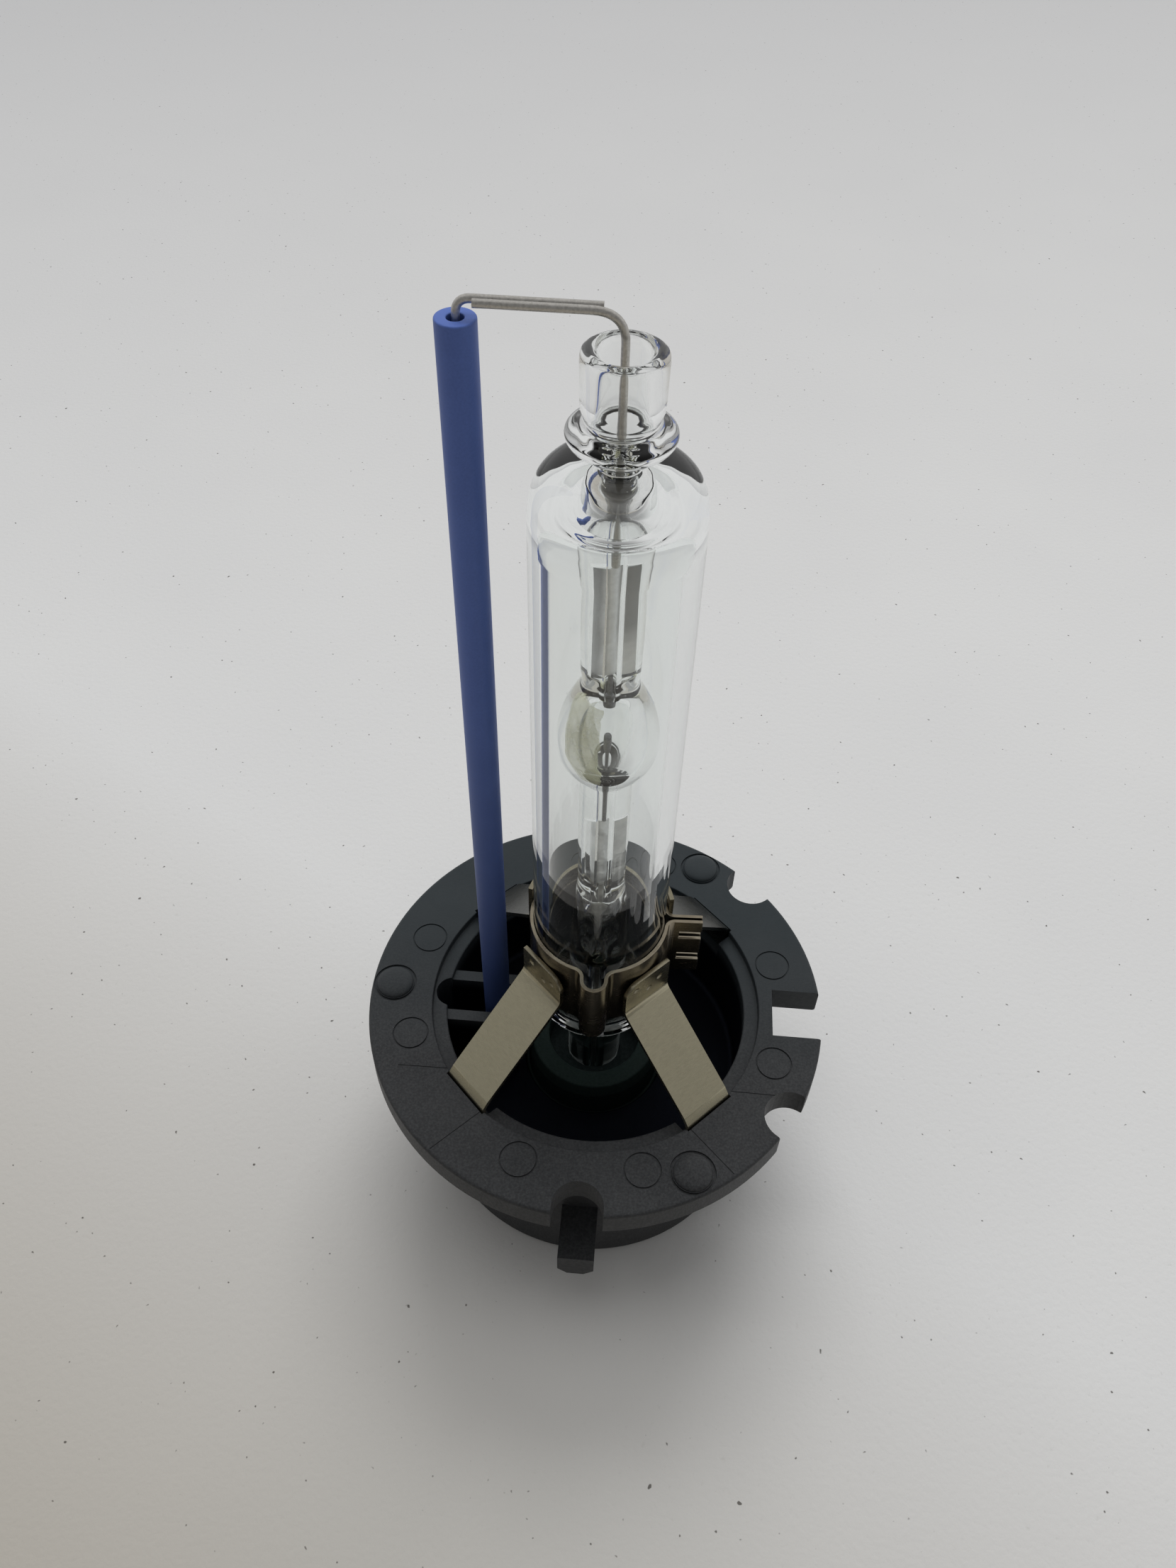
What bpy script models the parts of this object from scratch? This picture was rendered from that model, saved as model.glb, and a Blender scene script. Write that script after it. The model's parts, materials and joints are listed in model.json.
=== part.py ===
"""A xenon arc headlight lamp: moulded cap, four welded legs, clamp band, glass burner and return wire.

The lamp stands upright on the rear rim of its cap. Everything hangs on one empty, reference_plane, which
lies in the flange's top face, so every height below is measured from that face. The lamp's axis is Z, the
rectangular coding notch is at +X, and one of the two locking lugs is at -Y.
"""

import math

import bmesh
import bpy
from mathutils import Matrix, Vector

MM = 0.001
REFERENCE_NAME = "reference_plane"

# Cap
RIM_TO_REFERENCE = 16.2 * MM
FLANGE_RADIUS = 16.75 * MM
FLANGE_THICKNESS = 2.3 * MM
SKIRT_RADIUS = 12.45 * MM
SKIRT_BORE = 10.9 * MM
RECESS_RADIUS = 12.1 * MM
LEDGE_DEPTH = 0.6 * MM
WELL_RADIUS = 11.05 * MM
WELL_DEPTH = 7.5 * MM
WEB_THICKNESS = 1.5 * MM
WEB_HOLE = 5.3 * MM
LUG_ANGLES = (-90, 90)
LUG_REACH = 16.3 * MM
LUG_SIZE = 2.6 * MM
LUG_TOP = -8.3 * MM
LUG_WINDOW_CENTRE = 16.05 * MM
LUG_WINDOW_HALF = 1.75 * MM
BOSS_ANGLES = (180, 60, -60)
BOSS_RING = 15.05 * MM
BOSS_RADIUS = 1.25 * MM
BOSS_HEIGHT = 0.5 * MM
CODING_NOTCH_FLOOR = 13.1 * MM
CODING_NOTCH_HALF = 1.95 * MM
RIM_NOTCH_ANGLES = (45.4, -30.2)
RIM_NOTCH_CENTRE = 16.47 * MM
RIM_NOTCH_RADIUS = 1.85 * MM
RIB_NEAR = 1.3 * MM
RIB_FAR = 2.15 * MM
GROOVE_X = -10.75 * MM
GROOVE_RADIUS = 1.22 * MM
GROOVE_FLOOR = -5.0 * MM
THROUGH_FLANGE = (-3 * MM, 1 * MM)

# Burner and its holder
JACKET_RADIUS = 4.47 * MM
JACKET_BORE = 3.45 * MM
JACKET_FOOT = 1.7 * MM
STEM_RADIUS = 2.0 * MM
CHAMBER_CENTRE = 28.9 * MM
FOIL_WIDTH = 1.5 * MM
FOIL_THICKNESS = 0.12 * MM
FOIL_ANGLE = 20
LOWER_FOIL = (15.6 * MM, 21.6 * MM)
UPPER_FOIL = (33.6 * MM, 41.6 * MM)
LOWER_TIP = 28.1 * MM
UPPER_TIP = 31.0 * MM
CHANNEL_RADIUS = 0.35 * MM
BAND_BORE = JACKET_RADIUS + 0.03 * MM
BAND_SHEET = 0.25 * MM
BAND_LOW = 4.75 * MM
BAND_HIGH = 10.4 * MM
EAR_ANGLE = 2.6
LEG_SHEET = 0.3 * MM
LEG_WIDTH = 3.9 * MM
LEG_FOOT_RADIUS = 11.9 * MM
PAD_LOW = 7.5 * MM
PAD_HIGH = 11.4 * MM
PAD_SPAN = 33
LEGS = (
    {"name": "leg_front_left", "angle": -135, "tab_top": 9.1 * MM, "bend": 6.7 * MM, "pad": False},
    {"name": "leg_front_right", "angle": -45, "tab_top": 8.9 * MM, "bend": 6.0 * MM, "pad": False},
    {"name": "leg_back_left", "angle": 135, "tab_top": 8.6 * MM, "bend": 6.7 * MM, "pad": True},
    {"name": "leg_back_right", "angle": 45, "tab_top": 8.6 * MM, "bend": 6.7 * MM, "pad": True},
)

# Return conductor
TUBE_X = -7.4 * MM
TUBE_RADIUS = 0.96 * MM
TUBE_BORE = 0.4 * MM
TUBE_TOP = 52.8 * MM
WIRE_RADIUS = 0.2 * MM
BRIDGE_HEIGHT = 53.55 * MM
LEAD_END = -13.0 * MM

# Rear connector
CORE_DISC_RADIUS = 6.0 * MM
SHROUD_RADIUS = 4.2 * MM
SHROUD_BORE = 3.2 * MM
SHROUD_END = -15.4 * MM
WEB_UNDERSIDE = -(WELL_DEPTH + WEB_THICKNESS)
SLEEVE_RADIUS = 5.05 * MM
SLEEVE_BORE = 3.45 * MM
SLEEVE_TOP = -4.6 * MM

JOINT_GAP = 0.05 * MM
FLANGE_SEGMENTS = 88
SEGMENTS = 40
SMALL_SEGMENTS = 24


# ---------------------------------------------------------------- helpers


def clear_scene():
    for obj in list(bpy.data.objects):
        bpy.data.objects.remove(obj, do_unlink=True)


def material(name, color, roughness, metallic=0.0, transmission=0.0):
    result = bpy.data.materials.new(name)
    result.use_nodes = True
    shader = result.node_tree.nodes["Principled BSDF"]
    shader.inputs["Base Color"].default_value = (*color, 1.0)
    shader.inputs["Roughness"].default_value = roughness
    shader.inputs["Metallic"].default_value = metallic
    shader.inputs["Transmission Weight"].default_value = transmission
    return result


def add_object(name, data, finish=None):
    obj = bpy.data.objects.new(name, data)
    bpy.context.scene.collection.objects.link(obj)
    if finish:
        data.materials.append(finish)
    if obj.name != REFERENCE_NAME:
        obj.parent = bpy.data.objects[REFERENCE_NAME]
    return obj


def add_mesh(name, shape, finish=None):
    bmesh.ops.recalc_face_normals(shape, faces=shape.faces)
    mesh = bpy.data.meshes.new(name)
    shape.to_mesh(mesh)
    shape.free()
    mesh.shade_smooth()
    mesh.set_sharp_from_angle(angle=math.radians(35))
    return add_object(name, mesh, finish)


def in_mm(*points):
    """Points written in millimetres, as metres."""
    return [tuple(value * MM for value in point) for point in points]


def arc(center, radius, start, end, steps):
    """Points on an arc, angles in degrees."""
    angles = [math.radians(start + (end - start) * i / steps) for i in range(steps + 1)]
    return [(center[0] + radius * math.cos(a), center[1] + radius * math.sin(a)) for a in angles]


def closed_loop(shape, points):
    verts = [shape.verts.new(point) for point in points]
    edges = [shape.edges.new((a, b)) for a, b in zip(verts, verts[1:] + verts[:1])]
    return verts, edges


def turned_shape(outline, segments):
    """A closed (radius, height) outline spun about Z."""
    shape = bmesh.new()
    verts, edges = closed_loop(shape, [(radius, 0.0, height) for radius, height in outline])
    bmesh.ops.spin(shape, geom=verts + edges, cent=(0, 0, 0), axis=(0, 0, 1), dvec=(0, 0, 0),
                   angle=math.tau, steps=segments, use_merge=True, use_duplicate=False)
    bmesh.ops.remove_doubles(shape, verts=shape.verts, dist=1e-7)
    return shape


def turned(name, outline, finish=None, segments=SEGMENTS):
    return add_mesh(name, turned_shape(outline, segments), finish)


def prism_shape(outline, low, high):
    """A flat (x, y) outline extruded from one height to another."""
    shape = bmesh.new()
    verts, _ = closed_loop(shape, [(x, y, low) for x, y in outline])
    face = shape.faces.new(verts)
    top = bmesh.ops.extrude_face_region(shape, geom=[face])
    lifted = [item for item in top["geom"] if isinstance(item, bmesh.types.BMVert)]
    bmesh.ops.translate(shape, verts=lifted, vec=(0, 0, high - low))
    return shape


def box_shape(low, high):
    outline = [(low[0], low[1]), (high[0], low[1]), (high[0], high[1]), (low[0], high[1])]
    return prism_shape(outline, low[2], high[2])


def turn(shape, degrees):
    rotation = Matrix.Rotation(math.radians(degrees), 3, "Z")
    bmesh.ops.rotate(shape, verts=shape.verts, cent=(0, 0, 0), matrix=rotation)
    return shape


def ribbon(path, thickness):
    """The closed outline of a sheet of even thickness along an open path."""
    sides = ([], [])
    last = len(path) - 1
    for i, point in enumerate(path):
        along = Vector(path[min(i + 1, last)]) - Vector(path[max(i - 1, 0)])
        across = Vector((-along.y, along.x)).normalized() * thickness / 2
        sides[0].append(tuple(Vector(point) + across))
        sides[1].append(tuple(Vector(point) - across))
    return sides[0] + sides[1][::-1]


def rounded(points, radii, steps=5):
    """An open path whose inner corners are rounded, with one radius for each."""
    path = [points[0]]
    for i, radius in enumerate(radii, start=1):
        corner = Vector(points[i])
        back = (Vector(points[i - 1]) - corner).normalized()
        ahead = (Vector(points[i + 1]) - corner).normalized()
        reach = radius / math.tan(back.angle(ahead) / 2)
        start, end = corner + back * reach, corner + ahead * reach
        for k in range(steps + 1):
            t = k / steps
            path.append(tuple(start * (1 - t) ** 2 + corner * 2 * t * (1 - t) + end * t ** 2))
    path.append(points[-1])
    return path


def combine(target, shape, operation, name):
    """Cuts a shape out of the target, or joins it on, with a Boolean that stays on the target."""
    tool = add_mesh(f"{target.name}_{name}", shape)
    tool.hide_render = True
    tool.display_type = "WIRE"
    modifier = target.modifiers.new(name, "BOOLEAN")
    modifier.operation = operation
    modifier.solver = "EXACT"
    modifier.object = tool


def wire(name, points, radius, finish):
    """A round wire along a three-dimensional path, closed at both ends."""
    data = bpy.data.curves.new(name, "CURVE")
    data.dimensions = "3D"
    data.bevel_depth = radius
    data.bevel_resolution = 2
    data.use_fill_caps = True
    data.resolution_u = 1
    spline = data.splines.new("POLY")
    spline.points.add(len(points) - 1)
    for spot, point in zip(spline.points, points):
        spot.co = (*point, 1.0)
    return add_object(name, data, finish)


# ---------------------------------------------------------------- cap


def cap_outline():
    web_low = WEB_UNDERSIDE
    chamfer = 0.25 * MM
    under = -FLANGE_THICKNESS
    rim = -RIM_TO_REFERENCE
    return [
        (RECESS_RADIUS + 0.1 * MM, 0.0), (FLANGE_RADIUS - chamfer, 0.0), (FLANGE_RADIUS, -chamfer),
        (FLANGE_RADIUS, under + chamfer), (FLANGE_RADIUS - chamfer, under), (SKIRT_RADIUS + 0.3 * MM, under),
        (SKIRT_RADIUS, under - 0.3 * MM), (SKIRT_RADIUS, rim + chamfer), (SKIRT_RADIUS - chamfer, rim),
        (SKIRT_BORE + chamfer, rim), (SKIRT_BORE, rim + chamfer), (SKIRT_BORE, web_low),
        (WEB_HOLE, web_low), (WEB_HOLE, -WELL_DEPTH), (WELL_RADIUS - 0.5 * MM, -WELL_DEPTH),
        (WELL_RADIUS, -WELL_DEPTH + 0.5 * MM), (WELL_RADIUS, -LEDGE_DEPTH - 0.1 * MM),
        (WELL_RADIUS + 0.1 * MM, -LEDGE_DEPTH), (RECESS_RADIUS, -LEDGE_DEPTH), (RECESS_RADIUS, -0.1 * MM),
    ]


def lug_shape(angle):
    """A locking lug: flat on top, its lower corners cut off, rooted in the skirt."""
    half, low, cut = LUG_SIZE / 2, LUG_TOP - LUG_SIZE, 0.7 * MM
    face = [(-half, LUG_TOP), (half, LUG_TOP), (half, low + cut), (half - cut, low), (cut - half, low),
            (-half, low + cut)]
    shape = bmesh.new()
    root = SKIRT_RADIUS - 0.6 * MM
    verts, _ = closed_loop(shape, [(root, y, z) for y, z in face])
    outer = bmesh.ops.extrude_face_region(shape, geom=[shape.faces.new(verts)])
    moved = [item for item in outer["geom"] if isinstance(item, bmesh.types.BMVert)]
    bmesh.ops.translate(shape, verts=moved, vec=(LUG_REACH - root, 0, 0))
    return turn(shape, angle)


def boss_shape(angle):
    """A low dome on the flange's face that locates the lamp in its reflector."""
    dome, height, sunk = BOSS_RADIUS, BOSS_HEIGHT, 0.4 * MM
    outline = [(0.0, height), (dome * 0.5, height * 0.87), (dome * 0.87, height * 0.5), (dome, 0.0),
               (dome, -sunk), (0.0, -sunk)]
    shape = turned_shape(outline, SMALL_SEGMENTS)
    bmesh.ops.translate(shape, verts=shape.verts, vec=(BOSS_RING, 0, 0))
    return turn(shape, angle)


def rim_notch_shape(angle):
    """A half-round notch in the flange's edge."""
    outline = arc((RIM_NOTCH_CENTRE, 0.0), RIM_NOTCH_RADIUS, 0, 345, 23)
    return turn(prism_shape(outline, *THROUGH_FLANGE), angle)


def lug_window_shape(angle):
    """The window in the flange above a lug: round inside, open to the rim."""
    half, beyond = LUG_WINDOW_HALF, 18 * MM
    outline = arc((LUG_WINDOW_CENTRE, 0.0), half, 90, 270, 14) + [(beyond, -half), (beyond, half)]
    return turn(prism_shape(outline, *THROUGH_FLANGE), angle)


def cap_body(finish):
    cap = turned("cap_body", cap_outline(), finish, FLANGE_SEGMENTS)
    below, above = THROUGH_FLANGE
    notch = box_shape((CODING_NOTCH_FLOOR, -CODING_NOTCH_HALF, below), (18 * MM, CODING_NOTCH_HALF, above))
    combine(cap, notch, "DIFFERENCE", "coding_notch")
    for angle in RIM_NOTCH_ANGLES:
        combine(cap, rim_notch_shape(angle), "DIFFERENCE", f"rim_notch_{angle:.0f}")
    for angle in LUG_ANGLES:
        combine(cap, lug_window_shape(angle), "DIFFERENCE", f"lug_window_{angle}")
        combine(cap, lug_shape(angle), "UNION", f"lug_{angle}")
    for angle in BOSS_ANGLES:
        combine(cap, boss_shape(angle), "UNION", f"boss_{angle}")
    for leg in LEGS:
        half = LEG_WIDTH / 2 + 0.12 * MM
        pocket = box_shape((10.5 * MM, -half, -2.4 * MM), (LEG_FOOT_RADIUS + 0.27 * MM, half, 1 * MM))
        combine(cap, turn(pocket, leg["angle"]), "DIFFERENCE", f"pocket_{leg['angle']}")
    for side in (-1, 1):
        near, far = sorted((side * RIB_NEAR, side * RIB_FAR))
        rib = box_shape((-11.6 * MM, near, -WELL_DEPTH - 0.5 * MM), (-5.6 * MM, far, -1.0 * MM))
        combine(cap, rib, "UNION", f"rib_{'back' if side > 0 else 'front'}")
    groove = prism_shape(arc((GROOVE_X, 0.0), GROOVE_RADIUS, 5, 350, 23), GROOVE_FLOOR, above)
    combine(cap, groove, "DIFFERENCE", "tube_groove")
    socket = prism_shape(arc((TUBE_X, 0.0), TUBE_RADIUS + 0.08 * MM, 0, 345, 23), -10 * MM, -6 * MM)
    combine(cap, socket, "DIFFERENCE", "tube_socket")
    return cap


# ---------------------------------------------------------------- rear connector


def connector_core(finish):
    """The insulating centre of the connector: a disc under the web, a boss in its hole, and a shroud."""
    disc_top = WEB_UNDERSIDE - JOINT_GAP
    disc_low = disc_top - 1.15 * MM
    boss_radius = WEB_HOLE - JOINT_GAP
    boss_top = -8.0 * MM
    stem_bore = STEM_RADIUS + 0.1 * MM
    pin_bore = 0.95 * MM
    floor_low = -11.0 * MM
    return turned("connector_core", [
        (boss_radius, boss_top), (boss_radius, disc_top), (CORE_DISC_RADIUS, disc_top),
        (CORE_DISC_RADIUS, disc_low), (SHROUD_RADIUS, disc_low), (SHROUD_RADIUS, SHROUD_END + 0.2 * MM),
        (SHROUD_RADIUS - 0.2 * MM, SHROUD_END), (SHROUD_BORE + 0.2 * MM, SHROUD_END),
        (SHROUD_BORE, SHROUD_END + 0.2 * MM), (SHROUD_BORE, floor_low), (pin_bore, floor_low),
        (pin_bore, -9.4 * MM), (stem_bore, -9.4 * MM), (stem_bore, boss_top),
    ], finish)


def contact_pin(finish):
    """The hollow high-voltage pin, with a collar under the core's floor."""
    return turned("contact_pin", in_mm(
        (0.9, -9.6), (0.9, -11.05), (1.6, -11.05), (1.6, -11.4), (1.2, -11.4), (1.2, -14.5), (1.0, -14.9),
        (0.4, -14.9), (0.4, -9.6),
    ), finish, SMALL_SEGMENTS)


def ring_contact(finish):
    """The return contact, a sleeve of sheet metal round the shroud."""
    inner = SHROUD_RADIUS + JOINT_GAP
    outer = inner + 0.3 * MM
    return turned("ring_contact", [
        (outer, -11.0 * MM), (outer, -14.4 * MM), (outer - 0.1 * MM, -14.6 * MM), (inner, -14.6 * MM),
        (inner, -11.0 * MM),
    ], finish)


def return_terminal(finish):
    """The strip that joins the return wire to the ring contact."""
    low, high = -10.95 * MM, -10.65 * MM
    half, end_x = 1.0 * MM, -8.4 * MM
    strip = add_mesh("return_terminal", box_shape((end_x, -half, low), (-4.3 * MM, half, high)), finish)
    hole = prism_shape(arc((TUBE_X, 0.0), WIRE_RADIUS + 0.06 * MM, 0, 330, 11), low - MM, high + MM)
    combine(strip, hole, "DIFFERENCE", "wire_hole")
    return strip


def stem_sleeve(finish):
    low = -7.95 * MM
    return turned("stem_sleeve", [
        (SLEEVE_RADIUS - 0.25 * MM, SLEEVE_TOP), (SLEEVE_RADIUS, SLEEVE_TOP - 1.0 * MM), (SLEEVE_RADIUS, low),
        (SLEEVE_BORE, low), (SLEEVE_BORE, SLEEVE_TOP - 0.15 * MM), (SLEEVE_BORE + 0.15 * MM, SLEEVE_TOP),
    ], finish)


def stem_cement(finish):
    inner, outer = STEM_RADIUS + JOINT_GAP, SLEEVE_BORE - JOINT_GAP
    return turned("stem_cement", [
        (outer, -6.3 * MM), (outer, -7.9 * MM), (inner, -7.9 * MM), (inner, -6.5 * MM),
        ((inner + outer) / 2, -6.6 * MM),
    ], finish)


# ---------------------------------------------------------------- legs and clamp band


def support_leg(leg, finish):
    """A bent strip: a tab on the band, a slope down to the flange, and a foot let into its pocket.

    The rear pair also carry a curved pad that wraps the band.
    """
    tab = BAND_BORE + BAND_SHEET + JOINT_GAP + LEG_SHEET / 2
    path = rounded([(tab, leg["tab_top"]), (tab, leg["bend"]), (11.5 * MM, 0.6 * MM),
                    (LEG_FOOT_RADIUS, 0.05 * MM), (LEG_FOOT_RADIUS, -2.2 * MM)],
                   [0.8 * MM, 0.3 * MM, 0.3 * MM])
    half = LEG_WIDTH / 2
    shape = prism_shape(ribbon(path, LEG_SHEET), -half, half)
    upright = Matrix.Rotation(math.radians(90), 3, "X")
    bmesh.ops.rotate(shape, verts=shape.verts, cent=(0, 0, 0), matrix=upright)
    strip = add_mesh(leg["name"], turn(shape, leg["angle"]), finish)
    if leg["pad"]:
        wrap = ribbon(arc((0, 0), tab, -PAD_SPAN, PAD_SPAN, 10), LEG_SHEET)
        pad = prism_shape(wrap, PAD_LOW, PAD_HIGH)
        combine(strip, turn(pad, leg["angle"]), "UNION", "pad")
    return strip


def band_path():
    """The band's centre line seen from above: ear, wall, loop, wall, ear, with the ears along +X."""
    wall = BAND_BORE + BAND_SHEET / 2
    ear_end, ear_y, ear_fillet = 7.05 * MM, 0.21 * MM, 0.6 * MM
    fillet_y = ear_y + ear_fillet
    fillet_x = math.sqrt((wall + ear_fillet) ** 2 - fillet_y ** 2)
    ear_angle = math.degrees(math.atan2(fillet_y, fillet_x))
    loop_half, loop_end, loop_fillet = 0.8 * MM, 6.05 * MM, 0.7 * MM
    loop_y = loop_half + loop_fillet
    loop_x = math.sqrt((wall + loop_fillet) ** 2 - loop_y ** 2)
    loop_angle = math.degrees(math.atan2(loop_y, loop_x))
    tilt = math.radians(-90 - EAR_ANGLE)
    loop = arc((loop_x, -loop_y), loop_fillet, 180 - loop_angle, 90, 4)
    loop += arc((loop_end - loop_half, 0.0), loop_half, -90, 90, 10)
    loop += arc((loop_x, loop_y), loop_fillet, -90, loop_angle - 180, 4)
    loop = [(x * math.cos(tilt) - y * math.sin(tilt), x * math.sin(tilt) + y * math.cos(tilt))
            for x, y in loop]
    front = [(ear_end, -ear_y)] + arc((fillet_x, -fillet_y), ear_fillet, 90, 180 - ear_angle, 5)
    back = arc((fillet_x, fillet_y), ear_fillet, 180 + ear_angle, 270, 5) + [(ear_end, ear_y)]
    loop_at = math.degrees(tilt)
    first = arc((0, 0), wall, -ear_angle, loop_at + loop_angle, 14)[1:-1]
    second = arc((0, 0), wall, loop_at - loop_angle, ear_angle - 360, 40)[1:-1]
    return front + first + loop[::-1] + second + back


def clamp_band(finish):
    """The sheet band round the jacket, with a spring loop in front and slotted ears at the right."""
    shape = turn(prism_shape(ribbon(band_path(), BAND_SHEET), BAND_LOW, BAND_HIGH), EAR_ANGLE)
    band = add_mesh("clamp_band", shape, finish)
    for name, low, high in (("upper_slot", 8.55, 9.3), ("lower_slot", 6.1, 6.85)):
        slot = box_shape((5.5 * MM, -2 * MM, low * MM), (8 * MM, 2 * MM, high * MM))
        combine(band, turn(slot, EAR_ANGLE), "DIFFERENCE", name)
    return band


# ---------------------------------------------------------------- glass


def outer_jacket(finish):
    """The ultraviolet-filtering outer tube, closed round the burner's stem at both ends."""
    foot = JACKET_FOOT
    return turned("outer_jacket", in_mm((1.02, 46.0), (1.7, 46.1), (2.4, 46.1), (3.2, 45.85), (3.9, 45.25),
                                        (4.3, 44.45)) + [
        (JACKET_RADIUS, 43.4 * MM), (JACKET_RADIUS, foot + 0.4 * MM),
        (JACKET_RADIUS - 0.15 * MM, foot + 0.1 * MM), (JACKET_RADIUS - 0.5 * MM, foot),
        (STEM_RADIUS + JOINT_GAP, foot),
        (STEM_RADIUS + JOINT_GAP, foot + 0.7 * MM), (JACKET_BORE - 0.5 * MM, foot + 0.8 * MM),
        (JACKET_BORE, foot + 1.4 * MM), (JACKET_BORE, 41.6 * MM)] + in_mm(
        (3.3, 42.5), (2.9, 43.1), (2.4, 43.3), (1.95, 43.1), (1.66, 43.2), (1.62, 44.7), (1.35, 45.3),
        (1.02, 45.8)), finish)


def burner_outline():
    """Outer wall from the open top to the foot, then the bore from the foot up."""
    center = CHAMBER_CENTRE / MM
    top_tube = [(1.55, 51.8), (1.9, 51.7), (2.02, 51.4), (1.98, 48.9), (1.8, 48.5), (2.0, 48.2),
                (2.5, 47.98), (2.68, 47.7), (2.5, 47.3), (1.8, 46.75), (1.2, 46.4), (0.95, 46.15),
                (0.95, 45.85), (1.28, 45.25), (1.55, 44.6), (1.55, 43.0), (1.68, 40.5), (1.72, 37.0),
                (1.66, 32.9)]
    bulb = [(2.98 * math.cos(math.radians(a)), center + 3.6 * math.sin(math.radians(a)))
            for a in range(55, -60, -11)]
    lower = [(1.6, 25.2), (1.6, 15.2), (1.75, 13.2), (1.92, 10.5), (STEM_RADIUS / MM, 8.5),
             (STEM_RADIUS / MM, -9.2)]
    channel = CHANNEL_RADIUS / MM
    pocket = [(channel, -9.2), (channel, 7.1), (1.2, 7.4), (1.5, 8.1), (1.5, 9.5), (1.35, 12.3),
              (1.15, 14.2), (0.95, 13.4), (0.55, 9.4), (channel, 9.3), (channel, 25.0)]
    chamber = [(1.45 * math.cos(math.radians(a)), center + 2.8 * math.sin(math.radians(a)))
               for a in range(-76, 77, 19)]
    upper = [(channel, 32.4), (channel, 46.7), (0.6, 46.9), (1.0, 47.4), (1.3, 48.0), (1.25, 48.7),
             (1.1, 49.3), (1.1, 51.2), (1.25, 51.6)]
    return in_mm(*top_tube, *bulb, *lower, *pocket, *chamber, *upper)


def arc_tube(finish):
    tube = turned("arc_tube", burner_outline(), finish, SMALL_SEGMENTS)
    half_width, half_gap = FOIL_WIDTH / 2 + 0.06 * MM, FOIL_THICKNESS / 2 + 0.06 * MM
    for name, low, high in (("lower_foil_slot", *LOWER_FOIL), ("upper_foil_slot", *UPPER_FOIL)):
        slot = box_shape((-half_width, -half_gap, low - 0.1 * MM), (half_width, half_gap, high + 0.1 * MM))
        combine(tube, turn(slot, FOIL_ANGLE), "DIFFERENCE", name)
    return tube


def foil(name, span, finish):
    half_width, half = FOIL_WIDTH / 2, FOIL_THICKNESS / 2
    strip = box_shape((-half_width, -half, span[0]), (half_width, half, span[1]))
    return add_mesh(name, turn(strip, FOIL_ANGLE), finish)


def electrode(name, root, tip, finish):
    """A tungsten rod with a slightly swollen tip."""
    shank, head, cap = 0.14 * MM, 0.28 * MM, 1.2 * MM
    out = 1 if tip > root else -1
    outline = [(0.0, root), (shank, root), (shank, tip - out * cap), (head, tip - out * cap * 0.85),
               (head, tip - out * cap * 0.1), (head * 0.6, tip), (0.0, tip)]
    return turned(name, outline, finish, 12)


def salt_pool(finish):
    """The metal-halide salts, set in a thin crescent on the chamber's lower wall."""
    return turned("salt_pool", in_mm((0.45, 26.42), (0.8, 26.74), (1.08, 27.2), (0.95, 27.22), (0.65, 26.85)),
                  finish, SMALL_SEGMENTS)


# ---------------------------------------------------------------- conductors


def smooth_bend(start, corner, end, reach, steps=6):
    """Points of a bend that leaves the corner out by the given reach on both sides."""
    first = corner + (start - corner).normalized() * reach
    last = corner + (end - corner).normalized() * reach
    return [first * (1 - t) ** 2 + corner * 2 * t * (1 - t) + last * t ** 2
            for t in (k / steps for k in range(steps + 1))]


def conductor(name, corners, reaches, finish):
    corners = [Vector(corner) for corner in corners]
    points = [corners[0]]
    for i, reach in enumerate(reaches, start=1):
        points += smooth_bend(corners[i - 1], corners[i], corners[i + 1], reach)
    points.append(corners[-1])
    return wire(name, points, WIRE_RADIUS, finish)


def conductors(nickel):
    """The lead out of each end of the burner, and the wire that returns through the ceramic tube."""
    bridge = BRIDGE_HEIGHT
    lead_y, return_y = -0.2 * MM, 0.22 * MM
    conductor("upper_lead", [(0, 0, UPPER_FOIL[1] + JOINT_GAP), (0, 0, 51 * MM), (0, lead_y, bridge),
                             (-6.6 * MM, lead_y, bridge)], [0.6 * MM, 1.5 * MM], nickel)
    conductor("return_wire", [(-1.0 * MM, return_y, bridge), (TUBE_X, return_y, bridge), (TUBE_X, 0, 52 * MM),
                              (TUBE_X, 0, -11.2 * MM)], [0.7 * MM, 0.5 * MM], nickel)
    conductor("lower_lead", [(0, 0, LOWER_FOIL[0] - JOINT_GAP), (0, 0, 0), (0, 0, LEAD_END)],
              [0.5 * MM], nickel)


def ceramic_tube(finish):
    low = WEB_UNDERSIDE - 0.4 * MM
    edge = 0.08 * MM
    outline = [(TUBE_RADIUS - edge, TUBE_TOP), (TUBE_RADIUS, TUBE_TOP - edge), (TUBE_RADIUS, low),
               (TUBE_BORE, low), (TUBE_BORE, TUBE_TOP)]
    shape = turned_shape(outline, SMALL_SEGMENTS)
    bmesh.ops.translate(shape, verts=shape.verts, vec=(TUBE_X, 0, 0))
    return add_mesh("ceramic_tube", shape, finish)


# ---------------------------------------------------------------- assembly

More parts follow.
